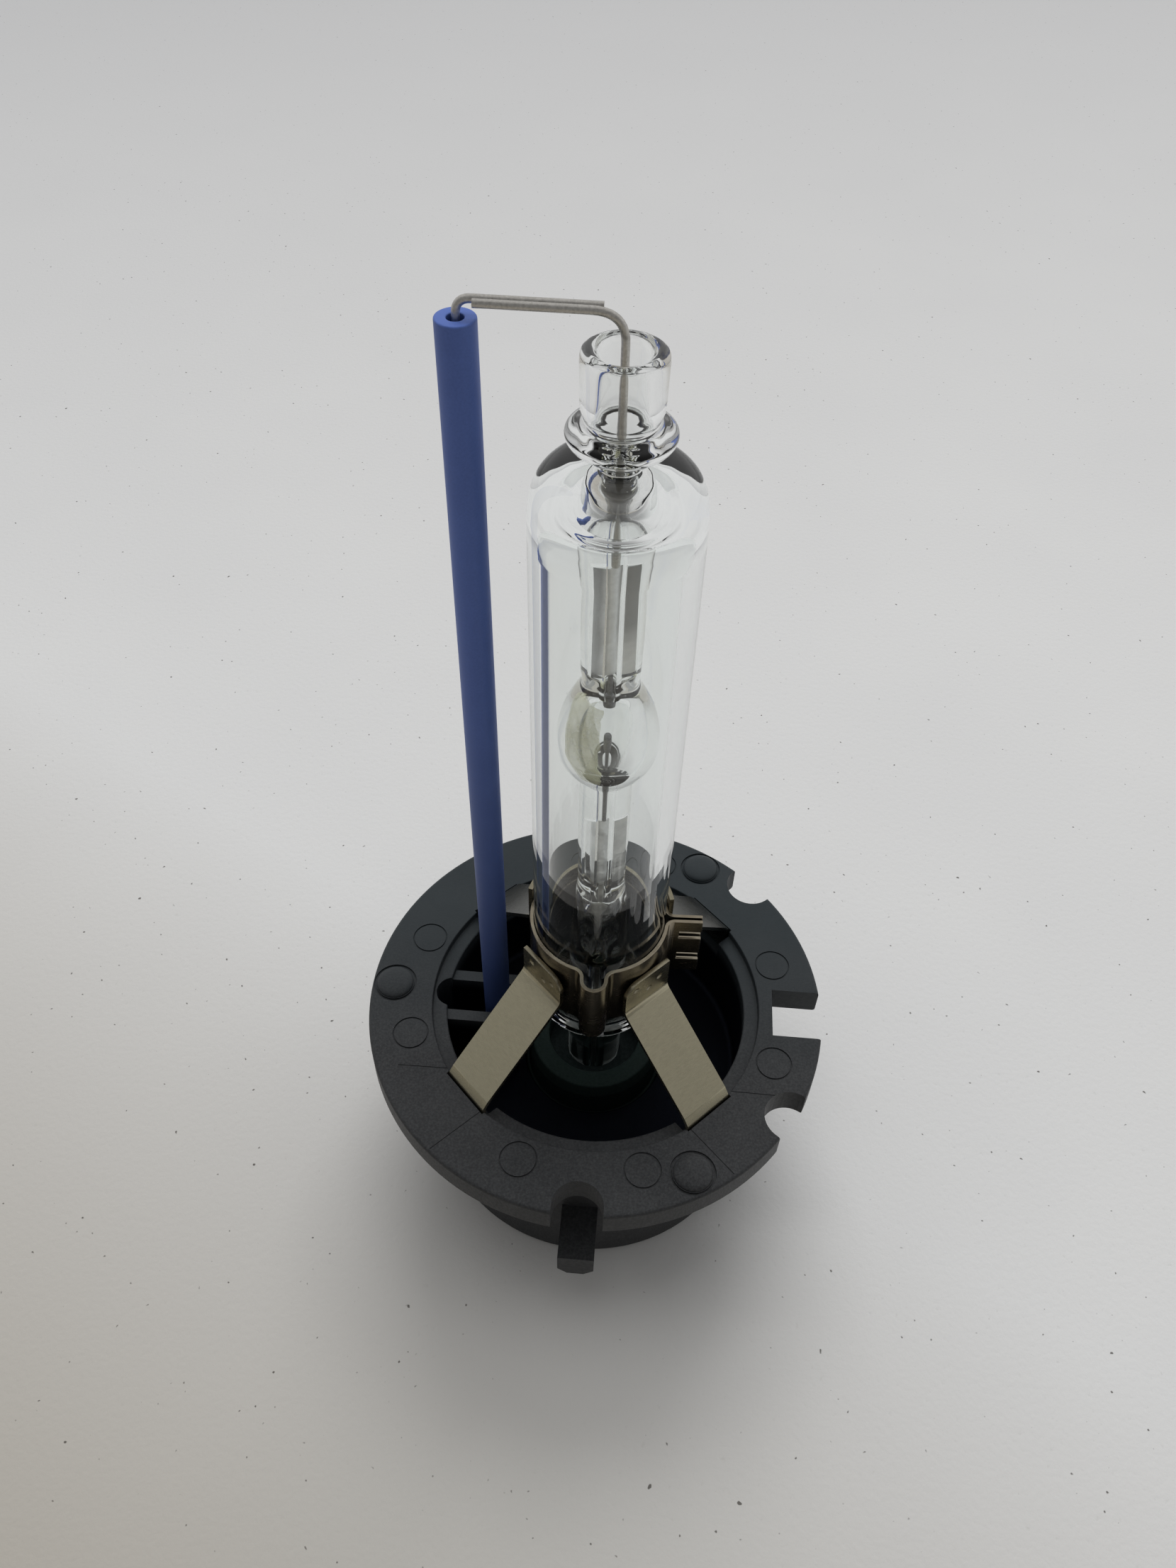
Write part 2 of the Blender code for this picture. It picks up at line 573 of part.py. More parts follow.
def main():
    clear_scene()
    reference = add_object(REFERENCE_NAME, None)
    reference.location = (0, 0, RIM_TO_REFERENCE)

    plastic = material("cap_plastic", (0.02, 0.022, 0.025), 0.4)
    insulator = material("insulator", (0.012, 0.016, 0.015), 0.5)
    cement = material("cement", (0.02, 0.022, 0.022), 0.8)
    brass = material("contact_brass", (0.72, 0.6, 0.35), 0.3, 1.0)
    legs_steel = material("leg_steel", (0.42, 0.39, 0.31), 0.45, 0.8)
    band_steel = material("band_steel", (0.3, 0.28, 0.24), 0.35, 1.0)
    glass = material("quartz", (0.95, 0.98, 0.97), 0.02, 0.0, 1.0)
    tungsten = material("tungsten", (0.25, 0.25, 0.26), 0.4, 1.0)
    molybdenum = material("molybdenum", (0.45, 0.45, 0.46), 0.3, 1.0)
    nickel = material("nickel_wire", (0.5, 0.47, 0.42), 0.35, 1.0)
    ceramic = material("blue_ceramic", (0.03, 0.06, 0.2), 0.45)
    salts = material("salts", (0.55, 0.56, 0.3), 0.7)

    cap_body(plastic)
    connector_core(insulator)
    contact_pin(brass)
    ring_contact(brass)
    return_terminal(brass)
    stem_sleeve(insulator)
    stem_cement(cement)
    for leg in LEGS:
        support_leg(leg, legs_steel)
    clamp_band(band_steel)
    outer_jacket(glass)
    arc_tube(glass)
    foil("lower_foil", LOWER_FOIL, molybdenum)
    foil("upper_foil", UPPER_FOIL, molybdenum)
    electrode("lower_electrode", LOWER_FOIL[1] + JOINT_GAP, LOWER_TIP, tungsten)
    electrode("upper_electrode", UPPER_FOIL[0] - JOINT_GAP, UPPER_TIP, tungsten)
    salt_pool(salts)
    conductors(nickel)
    ceramic_tube(ceramic)


main()
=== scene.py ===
"""The looks of the xenon arc headlight lamp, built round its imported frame.

Shapes are drawn in millimetres, with heights measured from the flange's top face, and finish_piece() puts
them into the frame. The rectangular coding notch is at +X and the locking lug in view is at -Y.
"""

import json
import math

import bmesh
import bpy
from mathutils import Matrix, Vector, noise


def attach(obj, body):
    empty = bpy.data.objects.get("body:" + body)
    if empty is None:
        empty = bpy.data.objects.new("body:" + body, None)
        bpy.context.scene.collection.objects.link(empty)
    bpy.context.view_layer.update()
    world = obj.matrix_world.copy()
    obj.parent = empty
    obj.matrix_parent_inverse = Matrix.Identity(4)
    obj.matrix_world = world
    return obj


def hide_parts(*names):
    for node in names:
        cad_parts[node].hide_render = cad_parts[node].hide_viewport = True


MM = 0.001
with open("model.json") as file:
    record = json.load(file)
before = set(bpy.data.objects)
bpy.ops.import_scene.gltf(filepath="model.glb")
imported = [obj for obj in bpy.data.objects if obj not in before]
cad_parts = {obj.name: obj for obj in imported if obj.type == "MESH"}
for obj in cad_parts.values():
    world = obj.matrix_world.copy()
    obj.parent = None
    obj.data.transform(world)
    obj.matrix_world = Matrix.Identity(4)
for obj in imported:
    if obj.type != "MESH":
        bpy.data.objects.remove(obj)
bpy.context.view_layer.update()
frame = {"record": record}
mounts = {mount["name"]: mount for mount in frame["record"]["mounts"]}
REFERENCE = mounts["reference_face"]["pos_m"][2]
TO_FRAME = Matrix.Translation((0, 0, REFERENCE)) @ Matrix.Scale(MM, 4)
UPRIGHT = Matrix.Rotation(math.radians(90), 4, "X")

# Cap, in millimetres
FLANGE_RADIUS = 16.75
FLANGE_THICKNESS = 2.3
SKIRT_RADIUS = 12.45
SKIRT_BORE = 10.9
RECESS_RADIUS = 12.1
LEDGE_DEPTH = 0.6
WELL_RADIUS = 11.05
WELL_DEPTH = 7.5
WEB_UNDERSIDE = -9.0
WEB_HOLE = 5.3
RIM = -REFERENCE / MM
LUG_SIZE = 2.6
LUG_TOP = -8.3
LUG_REACH = 16.3
LUG_ANGLES = (-90, 90)
LUG_WINDOW_CENTRE = 16.05
LUG_WINDOW_HALF = 1.75
BOSS_ANGLES = (180, 60, -60)
BOSS_RING = 15.05
CODING_NOTCH_FLOOR = 13.1
CODING_NOTCH_HALF = 1.95
RIM_NOTCH_ANGLES = (45.4, -30.2)
RIM_NOTCH_CENTRE = 16.47
RIM_NOTCH_RADIUS = 1.85
RIB_THICKNESS = 0.85
RIB_SIDES = (1.3, -2.15)
GROOVE_X = -10.75
GROOVE_RADIUS = 1.22
THROUGH_FLANGE = (-3, 1)
BEYOND_FLANGE = 18
MARK_RING = 13.8
MARK_RADIUS = 1.25

# Burner and holder, in millimetres
JACKET_RADIUS = 4.47
BAND_BORE = 4.5
BAND_SHEET = 0.25
BAND_LOW, BAND_HIGH = 4.75, 10.4
EAR_ANGLE = 2.6
LEG_SHEET = 0.3
LEG_WIDTH = 3.9
LEG_FOOT_RADIUS = 11.9
LEGS = (
    {"name": "leg_front_left", "angle": -135, "tab_top": 9.1, "bend": 6.7, "rounded_side": 1},
    {"name": "leg_front_right", "angle": -45, "tab_top": 8.9, "bend": 6.0, "rounded_side": -1},
    {"name": "leg_back_left", "angle": 135, "tab_top": 8.6, "bend": 6.7, "rounded_side": 0},
    {"name": "leg_back_right", "angle": 45, "tab_top": 8.6, "bend": 6.7, "rounded_side": 0},
)
PAD_LOW, PAD_HIGH, PAD_SPAN = 7.5, 11.4, 33
FOIL_ANGLE = 20
CHAMBER_CENTRE = 28.9
LOWER_FOIL = (15.6, 21.6)
UPPER_FOIL = (33.6, 41.6)
LOWER_TIP = 28.1
UPPER_TIP = 31.0
TUBE_X = -7.4
TUBE_TOP = 52.8
WIRE_RADIUS = 0.2

SEGMENTS = 128


# ---------------------------------------------------------------- outlines


def arc(center, radius, start, end, steps):
    """Points on an arc, angles in degrees."""
    angles = [math.radians(start + (end - start) * i / steps) for i in range(steps + 1)]
    return [(center[0] + radius * math.cos(a), center[1] + radius * math.sin(a)) for a in angles]


def corner(before, point, after, radius, steps=4):
    """A rounded corner, as points from one side to the other."""
    spot = Vector(point)
    back, ahead = Vector(before) - spot, Vector(after) - spot
    reach = min(radius / math.tan(back.angle(ahead) / 2), back.length * 0.49, ahead.length * 0.49)
    start, end = spot + back.normalized() * reach, spot + ahead.normalized() * reach
    return [tuple(start * (1 - t) ** 2 + spot * 2 * t * (1 - t) + end * t ** 2)
            for t in (k / steps for k in range(steps + 1))]


def rounded_loop(points):
    """A closed outline from (x, y, corner radius) triples."""
    outline = []
    for i, (x, y, radius) in enumerate(points):
        before, after = points[i - 1][:2], points[(i + 1) % len(points)][:2]
        outline += corner(before, (x, y), after, radius) if radius else [(x, y)]
    return outline


def rounded_path(points, radii, steps=8):
    """An open path whose inner corners are rounded, with one radius for each."""
    path = [points[0]]
    for i, radius in enumerate(radii, start=1):
        path += corner(points[i - 1], points[i], points[i + 1], radius, steps)
    return path + [points[-1]]


def smooth_line(points, steps=5):
    """A Catmull-Rom curve through the points."""
    spots = [Vector(point) for point in points]
    spots = [spots[0] * 2 - spots[1]] + spots + [spots[-1] * 2 - spots[-2]]
    line = []
    for a, b, c, d in zip(spots, spots[1:], spots[2:], spots[3:]):
        for k in range(steps):
            t = k / steps
            line.append(tuple((b * 2 + (c - a) * t + (a * 2 - b * 5 + c * 4 - d) * t ** 2
                               + (b * 3 - a - c * 3 + d) * t ** 3) / 2))
    return line + [tuple(spots[-2])]


def ribbon(path, thickness):
    """The closed outline of a sheet of even thickness along an open path."""
    sides = ([], [])
    last = len(path) - 1
    for i, point in enumerate(path):
        along = Vector(path[min(i + 1, last)]) - Vector(path[max(i - 1, 0)])
        across = Vector((-along.y, along.x)).normalized() * thickness / 2
        sides[0].append(tuple(Vector(point) + across))
        sides[1].append(tuple(Vector(point) - across))
    return sides[0] + sides[1][::-1]


# ---------------------------------------------------------------- solids


def loop_face(shape, points):
    return shape.faces.new([shape.verts.new(point) for point in points])


def turned(outline, segments=SEGMENTS):
    """A closed (radius, height) outline spun about Z."""
    shape = bmesh.new()
    verts = [shape.verts.new((radius, 0.0, height)) for radius, height in outline]
    edges = [shape.edges.new(pair) for pair in zip(verts, verts[1:] + verts[:1])]
    bmesh.ops.spin(shape, geom=verts + edges, cent=(0, 0, 0), axis=(0, 0, 1), dvec=(0, 0, 0),
                   angle=math.tau, steps=segments, use_merge=True, use_duplicate=False)
    bmesh.ops.remove_doubles(shape, verts=shape.verts, dist=1e-5)
    bmesh.ops.recalc_face_normals(shape, faces=shape.faces)
    return shape


def prism(outline, low, high):
    """A flat (x, y) outline extruded from one height to another."""
    shape = bmesh.new()
    face = loop_face(shape, [(x, y, low) for x, y in outline])
    top = bmesh.ops.extrude_face_region(shape, geom=[face])
    lifted = [item for item in top["geom"] if isinstance(item, bmesh.types.BMVert)]
    bmesh.ops.translate(shape, verts=lifted, vec=(0, 0, high - low))
    bmesh.ops.recalc_face_normals(shape, faces=shape.faces)
    return shape


def block(low, high):
    outline = [(low[0], low[1]), (high[0], low[1]), (high[0], high[1]), (low[0], high[1])]
    return prism(outline, low[2], high[2])


def bar(outline, near, far):
    """A flat (y, z) outline extruded along X."""
    shape = bmesh.new()
    start = loop_face(shape, [(near, y, z) for y, z in outline])
    end = bmesh.ops.extrude_face_region(shape, geom=[start])
    shifted = [item for item in end["geom"] if isinstance(item, bmesh.types.BMVert)]
    bmesh.ops.translate(shape, verts=shifted, vec=(far - near, 0, 0))
    bmesh.ops.recalc_face_normals(shape, faces=shape.faces)
    return shape


def closed_sheet(levels, rows, columns, place):
    """A thin closed sheet between two levels. place(level, row, column) gives each of its points."""
    shape = bmesh.new()
    sides = []
    for level in levels:
        grid = [[shape.verts.new(place(level, i, k)) for k in range(columns + 1)] for i in range(rows + 1)]
        sides.append(grid)
        for low_line, high_line in zip(grid, grid[1:]):
            for k in range(columns):
                shape.faces.new((low_line[k], low_line[k + 1], high_line[k + 1], high_line[k]))
    front, back = sides
    for i in range(rows):
        for k in (0, columns):
            shape.faces.new((front[i][k], front[i + 1][k], back[i + 1][k], back[i][k]))
    for k in range(columns):
        for i in (0, rows):
            shape.faces.new((front[i][k], front[i][k + 1], back[i][k + 1], back[i][k]))
    bmesh.ops.recalc_face_normals(shape, faces=shape.faces)
    return shape


def moved(shape, matrix):
    bmesh.ops.transform(shape, verts=shape.verts, matrix=matrix)
    return shape


def turn(shape, degrees):
    return moved(shape, Matrix.Rotation(math.radians(degrees), 4, "Z"))


def at(shape, x, y, z=0.0):
    return moved(shape, Matrix.Translation((x, y, z)))


def joined(shapes):
    """Several separate solids as one shape."""
    whole = bmesh.new()
    for shape in shapes:
        part = bpy.data.meshes.new("part")
        shape.to_mesh(part)
        shape.free()
        whole.from_mesh(part)
        bpy.data.meshes.remove(part)
    return whole


def sweep(points, radius, sides=16):
    """A round rod along a path of (x, y, z) points, closed at both ends."""
    shape = bmesh.new()
    spots = [Vector(point) for point in points]
    side = Vector((0, 1, 0))
    rings = []
    for i, spot in enumerate(spots):
        along = (spots[min(i + 1, len(spots) - 1)] - spots[max(i - 1, 0)]).normalized()
        side = (side - along * side.dot(along)).normalized()
        up = along.cross(side)
        rings.append([shape.verts.new(spot + (side * math.cos(a) + up * math.sin(a)) * radius)
                      for a in (math.tau * k / sides for k in range(sides))])
    for near, far in zip(rings, rings[1:]):
        for k in range(sides):
            shape.faces.new((near[k], near[(k + 1) % sides], far[(k + 1) % sides], far[k]))
    shape.faces.new(rings[0][::-1])
    shape.faces.new(rings[-1])
    bmesh.ops.recalc_face_normals(shape, faces=shape.faces)
    return shape


def as_object(name, shape):
    mesh = bpy.data.meshes.new(name)
    shape.to_mesh(mesh)
    shape.free()
    obj = bpy.data.objects.new(name, mesh)
    bpy.context.scene.collection.objects.link(obj)
    return obj


def apply_modifiers(obj):
    graph = bpy.context.evaluated_depsgraph_get()
    rough = obj.data
    result = bpy.data.meshes.new_from_object(obj.evaluated_get(graph))
    obj.modifiers.clear()
    obj.data = result
    bpy.data.meshes.remove(rough)


def combine(target, shape, operation="DIFFERENCE"):
    """Cuts a shape out of the target, or joins it on."""
    tool = as_object("tool", shape)
    modifier = target.modifiers.new("combine", "BOOLEAN")
    modifier.operation = operation
    modifier.solver = "EXACT"
    modifier.object = tool
    apply_modifiers(target)
    bpy.data.objects.remove(tool)


def soften_edges(obj, width, segments=2, angle=32):
    """Rounds the sharp edges; finish_piece() keeps the flat faces flat in shading."""
    bevel = obj.modifiers.new("edges", "BEVEL")
    bevel.width = width
    bevel.segments = segments
    bevel.limit_method = "ANGLE"
    bevel.angle_limit = math.radians(angle)
    bevel.use_clamp_overlap = True
    apply_modifiers(obj)


def finish_piece(obj, finish, slot, *nodes, smooth=40):
    """Puts a piece into the frame, with its material and the CAD nodes that it stands for. Its slot is not
    used.
    """
    obj.data.transform(TO_FRAME)
    obj.data.shade_smooth()
    obj.data.set_sharp_from_angle(angle=math.radians(smooth))
    even = obj.modifiers.new("even_normals", "WEIGHTED_NORMAL")
    even.keep_sharp = True
    even.weight = 80
    obj.data.materials.clear()
    obj.data.materials.append(finish)
    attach(obj, "root")
    if nodes:
        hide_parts(*nodes)
    return obj


# ---------------------------------------------------------------- materials


class Nodes:
    """A material's node tree, with short calls for the nodes that the finishes share."""

    def __init__(self, name):
        self.material = bpy.data.materials.new(name)
        self.material.use_nodes = True
        self.tree = self.material.node_tree
        self.shader = self.tree.nodes["Principled BSDF"]
        self.place = self.add("ShaderNodeTexCoord").outputs["Object"]

    def add(self, kind, **settings):
        node = self.tree.nodes.new(kind)
        for key, value in settings.items():
            setattr(node, key, value)
        return node

    def link(self, source, target):
        self.tree.links.new(source, target)

    def set(self, **values):
        for key, value in values.items():
            self.shader.inputs[key.replace("_", " ")].default_value = value

    def stretched(self, scale):
        """The place, stretched, so that a texture becomes streaks."""
        mapping = self.add("ShaderNodeMapping")
        mapping.inputs["Scale"].default_value = scale
        self.link(self.place, mapping.inputs["Vector"])
        return mapping.outputs["Vector"]

    def noise(self, size, detail=3.0, rough=0.55, place=None):
        """Noise whose grains are about size millimetres across."""
        node = self.add("ShaderNodeTexNoise")
        node.inputs["Scale"].default_value = 1.0 / (size * MM)
        node.inputs["Detail"].default_value = detail
        node.inputs["Roughness"].default_value = rough
        self.link(place or self.place, node.inputs["Vector"])
        return node.outputs["Fac"]

    def ramp(self, value, *stops):
        """Colours, or plain numbers, at positions along a value."""
        node = self.add("ShaderNodeValToRGB")
        elements = node.color_ramp.elements
        while len(elements) < len(stops):
            elements.new(0.5)
        for element, (position, color) in zip(elements, stops):
            element.position = position
            element.color = (*color, 1.0) if isinstance(color, tuple) else (color, color, color, 1.0)
        self.link(value, node.inputs["Fac"])
        return node.outputs["Color"]

    def mix(self, factor, first, second, blend="MIX"):
        node = self.add("ShaderNodeMix", data_type="RGBA", blend_type=blend)
        for socket, value in ((node.inputs[0], factor), (node.inputs[6], first), (node.inputs[7], second)):
            if isinstance(value, bpy.types.NodeSocket):
                self.link(value, socket)
            else:
                socket.default_value = (*value, 1.0) if isinstance(value, tuple) else value
        return node.outputs[2]

    def height(self):
        """The height above the frame's origin, in metres."""
        split = self.add("ShaderNodeSeparateXYZ")
        self.link(self.place, split.inputs["Vector"])
        return split.outputs["Z"]

    def along(self, direction):
        """How far the place lies along a direction, in metres."""
        node = self.add("ShaderNodeVectorMath", operation="DOT_PRODUCT")
        node.inputs[1].default_value = direction
        self.link(self.place, node.inputs[0])
        return node.outputs["Value"]

    def radius(self):
        """The distance from the lamp's axis, in metres."""
        flat = self.add("ShaderNodeVectorMath", operation="MULTIPLY")
        flat.inputs[1].default_value = (1.0, 1.0, 0.0)
        self.link(self.place, flat.inputs[0])
        node = self.add("ShaderNodeVectorMath", operation="LENGTH")
        self.link(flat.outputs["Vector"], node.inputs[0])
        return node.outputs["Value"]

    def times(self, first, second):
        node = self.add("ShaderNodeMath", operation="MULTIPLY")
        self.link(first, node.inputs[0])
        self.link(second, node.inputs[1])
        return node.outputs["Value"]

    def between(self, value, low, high):
        """Zero at low, one at high."""
        node = self.add("ShaderNodeMapRange")
        node.inputs["From Min"].default_value = low
        node.inputs["From Max"].default_value = high
        self.link(value, node.inputs["Value"])
        return node.outputs["Result"]

    def bump(self, height, depth, strength=1.0, normal=None):
        """A relief that is depth millimetres deep."""
        node = self.add("ShaderNodeBump")
        node.inputs["Strength"].default_value = strength
        node.inputs["Distance"].default_value = depth * MM
        self.link(height, node.inputs["Height"])
        if normal:
            self.link(normal, node.inputs["Normal"])
        return node.outputs["Normal"]

    def color(self, source):
        self.link(source, self.shader.inputs["Base Color"])

    def roughness(self, source):
        self.link(source, self.shader.inputs["Roughness"])

    def normal(self, source):
        self.link(source, self.shader.inputs["Normal"])


def cap_plastic():
    """Glass-filled polymer: satin, mottled and scuffed, with a painted bluish sheen behind and painted shade
    inside the well.
    """
    nodes = Nodes("cap_plastic")
    clouds = nodes.noise(5.0, 4.0)
    grain = nodes.noise(0.16, 4.0, 0.65)
    scuffs = nodes.noise(0.35, 2.0, 0.5, nodes.stretched((1.0, 7.0, 1.0)))
    tone = nodes.ramp(clouds, (0.3, (0.016, 0.0165, 0.0175)), (0.7, (0.031, 0.0315, 0.0325)))
    flecks = nodes.ramp(grain, (0.38, (0.006, 0.007, 0.009)), (0.72, (0.058, 0.06, 0.062)))
    # Painted shade inside the well: more than about 2 mm down, the colour goes nearly black and the surface
    # turns metallic, so that it gives back almost no light.
    inside = nodes.between(nodes.radius(), (WELL_RADIUS + 0.25) * MM, (WELL_RADIUS + 0.05) * MM)
    deep = nodes.between(nodes.height(), REFERENCE - 1.2 * MM, REFERENCE - 2.2 * MM)
    well = nodes.times(inside, deep)
    # Painted sheen: the back of the cap is tinted bluish, as if it gave back the pale room.
    painted_back_sheen = nodes.between(nodes.along((0.0, 1.0, 0.0)), -0.006, 0.008)
    face = nodes.mix(painted_back_sheen, nodes.mix(0.45, tone, flecks), nodes.mix(0.6, tone, (0.016, 0.026, 0.031)))
    nodes.color(nodes.mix(well, face, (0.009, 0.0105, 0.015)))
    nodes.link(well, nodes.shader.inputs["Metallic"])
    nodes.roughness(nodes.mix(0.5, nodes.ramp(scuffs, (0.35, 0.42), (0.65, 0.62)),
                              nodes.ramp(grain, (0.3, 0.42), (0.7, 0.66))))
    relief = nodes.bump(grain, 0.012, 0.6)
    nodes.normal(nodes.bump(scuffs, 0.006, 0.5, relief))
    nodes.set(Specular_IOR_Level=0.35)
    return nodes.material


def insulator():
    nodes = Nodes("insulator")
    grain = nodes.noise(0.2, 3.0)
    nodes.color(nodes.ramp(grain, (0.3, (0.009, 0.0155, 0.014)), (0.7, (0.016, 0.024, 0.022))))
    nodes.roughness(nodes.ramp(grain, (0.3, 0.55), (0.7, 0.7)))
    nodes.normal(nodes.bump(grain, 0.01, 0.5))
    nodes.set(Specular_IOR_Level=0.1)
    return nodes.material


def cement():
    nodes = Nodes("cement")
    grain = nodes.noise(0.25, 6.0, 0.7)
    nodes.color(nodes.ramp(grain, (0.25, (0.004, 0.006, 0.006)), (0.75, (0.014, 0.018, 0.018))))
    nodes.set(Roughness=0.95, Specular_IOR_Level=0.1)
    nodes.normal(nodes.bump(grain, 0.08, 0.9))
    return nodes.material


def rolled_steel(name, dark, light, tint, tint_span, top, roughness, streak_scale):
    """Rolled strip: streaks, a heat tint that grows over a span of heights, and painted shade behind, below
    top.
    """
    nodes = Nodes(name)
    streaks = nodes.noise(0.5, 4.0, 0.6, nodes.stretched(streak_scale))
    clouds = nodes.noise(1.6, 3.0)
    metal = nodes.ramp(streaks, (0.3, dark), (0.7, light))
    heat = nodes.between(nodes.height(), REFERENCE + tint_span[0] * MM, REFERENCE + tint_span[1] * MM)
    # Painted shade: the steel on the back half goes dark, all but a thin strip along its top edge.
    behind = nodes.between(nodes.along((0.0, 1.0, 0.0)), 0.001, 0.003)
    warm = nodes.mix(heat, metal, nodes.mix(clouds, metal, tint))
    painted_back_shade = nodes.times(behind, nodes.between(nodes.height(), REFERENCE + (top - 0.03) * MM,
                                              REFERENCE + (top - 0.12) * MM))
    nodes.color(nodes.mix(painted_back_shade, warm, nodes.mix(0.88, warm, (0.05, 0.056, 0.062))))
    nodes.roughness(nodes.mix(0.5, nodes.ramp(streaks, (0.3, roughness[0]), (0.7, roughness[1])),
                              nodes.ramp(clouds, (0.3, roughness[0]), (0.7, roughness[1]))))
    nodes.normal(nodes.bump(streaks, 0.003, 0.5))
    nodes.set(Metallic=1.0)
    return nodes.material


def drawn_wire(name, dark, light, roughness):
    nodes = Nodes(name)
    streaks = nodes.noise(0.12, 3.0)
    nodes.color(nodes.ramp(streaks, (0.3, dark), (0.7, light)))
    nodes.roughness(nodes.ramp(streaks, (0.3, roughness), (0.7, roughness + 0.12)))
    nodes.normal(nodes.bump(streaks, 0.004, 0.5))
    nodes.set(Metallic=1.0)
    return nodes.material


def foil_metal():
    """Etched molybdenum, faintly crumpled by the pinch, with painted shade darkening its edges."""
    nodes = Nodes("molybdenum")
    creases = nodes.noise(0.45, 3.0)
    metal = nodes.ramp(creases, (0.3, (0.78, 0.78, 0.79)), (0.7, (0.95, 0.95, 0.96)))
    across = Vector((math.cos(math.radians(FOIL_ANGLE)), math.sin(math.radians(FOIL_ANGLE)), 0.0))
    # Painted shade: the foil is darkened towards its left edge, and towards its right edge above about 37 mm,
    # leaving a bright middle.
    left = nodes.between(nodes.along(-across), 0.18 * MM, 0.42 * MM)
    right = nodes.times(nodes.between(nodes.along(across), 0.14 * MM, 0.4 * MM),
                        nodes.between(nodes.height(), REFERENCE + 35.0 * MM, REFERENCE + 37.0 * MM))
    nodes.color(nodes.mix(right, nodes.mix(left, metal, (0.34, 0.34, 0.35)), (0.38, 0.38, 0.39)))
    nodes.set(Metallic=1.0, Roughness=0.38)
    nodes.normal(nodes.bump(creases, 0.05, 0.8))
    return nodes.material


def quartz(name, tint, foot=None):
    """Clear glass that lets the lamps through, so that its shadow is light. A foot is a darker tint low down:
    painted shade where the glass stands deep in the cap.
    """
    nodes = Nodes(name)
    nodes.set(Transmission_Weight=1.0, Roughness=0.0, IOR=1.46, Base_Color=(*tint, 1.0))
    if foot:
        # Painted shade: the glass darkens from 3 mm above the flange's face downwards.
        low = nodes.between(nodes.height(), REFERENCE + 3.0 * MM, REFERENCE)
        nodes.color(nodes.mix(low, tint, foot))
    clear = nodes.add("ShaderNodeBsdfTransparent")
    clear.inputs["Color"].default_value = (0.93, 0.95, 0.945, 1.0)
    path = nodes.add("ShaderNodeLightPath")
    blend = nodes.add("ShaderNodeMixShader")
    output = nodes.tree.nodes["Material Output"]
    nodes.link(path.outputs["Is Shadow Ray"], blend.inputs["Fac"])
    nodes.link(nodes.shader.outputs["BSDF"], blend.inputs[1])
    nodes.link(clear.outputs["BSDF"], blend.inputs[2])
    nodes.link(blend.outputs["Shader"], output.inputs["Surface"])
    return nodes.material


def blue_ceramic():
    nodes = Nodes("blue_ceramic")
    clouds = nodes.noise(3.0, 3.0)
    grain = nodes.noise(0.12, 3.0)
    glaze = nodes.mix(0.35, nodes.ramp(clouds, (0.3, (0.066, 0.125, 0.39)), (0.7, (0.08, 0.148, 0.45))),
                      nodes.ramp(grain, (0.3, (0.06, 0.112, 0.36)), (0.7, (0.1, 0.17, 0.5))))
    # Painted shade: the tube darkens towards the bottom, from 32 mm above the flange's face down to it and
    # below.
    up = nodes.between(nodes.height(), REFERENCE + 0 * MM, REFERENCE + 32 * MM)
    nodes.color(nodes.mix(up, nodes.mix(0.8, glaze, (0.006, 0.014, 0.05)), glaze))
    nodes.roughness(nodes.ramp(grain, (0.3, 0.45), (0.7, 0.6)))
    nodes.normal(nodes.bump(grain, 0.008, 0.4))
    return nodes.material


def salt_crust():
    """A thin yellow film of salts: clear where it thins out."""
    nodes = Nodes("salts")
    patches = nodes.noise(0.9, 4.0, 0.6)
    nodes.color(nodes.ramp(patches, (0.3, (0.9, 0.87, 0.6)), (0.7, (0.97, 0.94, 0.7))))
    nodes.set(Roughness=0.8)
    nodes.link(nodes.ramp(patches, (0.3, 0.14), (0.65, 0.36)), nodes.shader.inputs["Alpha"])
    return nodes.material


def stamped_brass():
    nodes = Nodes("contact_brass")
    streaks = nodes.noise(0.3, 3.0)
    nodes.color(nodes.ramp(streaks, (0.3, (0.62, 0.5, 0.27)), (0.7, (0.78, 0.66, 0.4))))
    nodes.roughness(nodes.ramp(streaks, (0.3, 0.22), (0.7, 0.36)))
    nodes.set(Metallic=1.0)
    return nodes.material


PLASTIC = cap_plastic()
INSULATOR = insulator()
CEMENT = cement()
LEG_STEEL = rolled_steel("leg_steel", (0.44, 0.405, 0.29), (0.5, 0.46, 0.33), (0.07, 0.058, 0.042),
                         (6.0, 7.5), PAD_HIGH, (0.22, 0.34), (1.0, 1.0, 6.0))
BAND_STEEL = rolled_steel("band_steel", (0.3, 0.27, 0.21), (0.42, 0.38, 0.3), (0.2, 0.16, 0.11),
                          (4.0, 10.0), BAND_HIGH, (0.18, 0.3), (1.0, 1.0, 6.0))
NICKEL = drawn_wire("nickel_wire", (0.44, 0.425, 0.395), (0.62, 0.6, 0.565), 0.3)
TUNGSTEN = drawn_wire("tungsten", (0.16, 0.16, 0.17), (0.3, 0.3, 0.31), 0.4)
MOLYBDENUM = foil_metal()
JACKET_GLASS = quartz("jacket_glass", (0.975, 0.992, 0.985))
BURNER_GLASS = quartz("burner_glass", (0.98, 0.99, 0.985), (0.5, 0.56, 0.55))
CERAMIC = blue_ceramic()
SALTS = salt_crust()
BRASS = stamped_brass()


# ---------------------------------------------------------------- cap


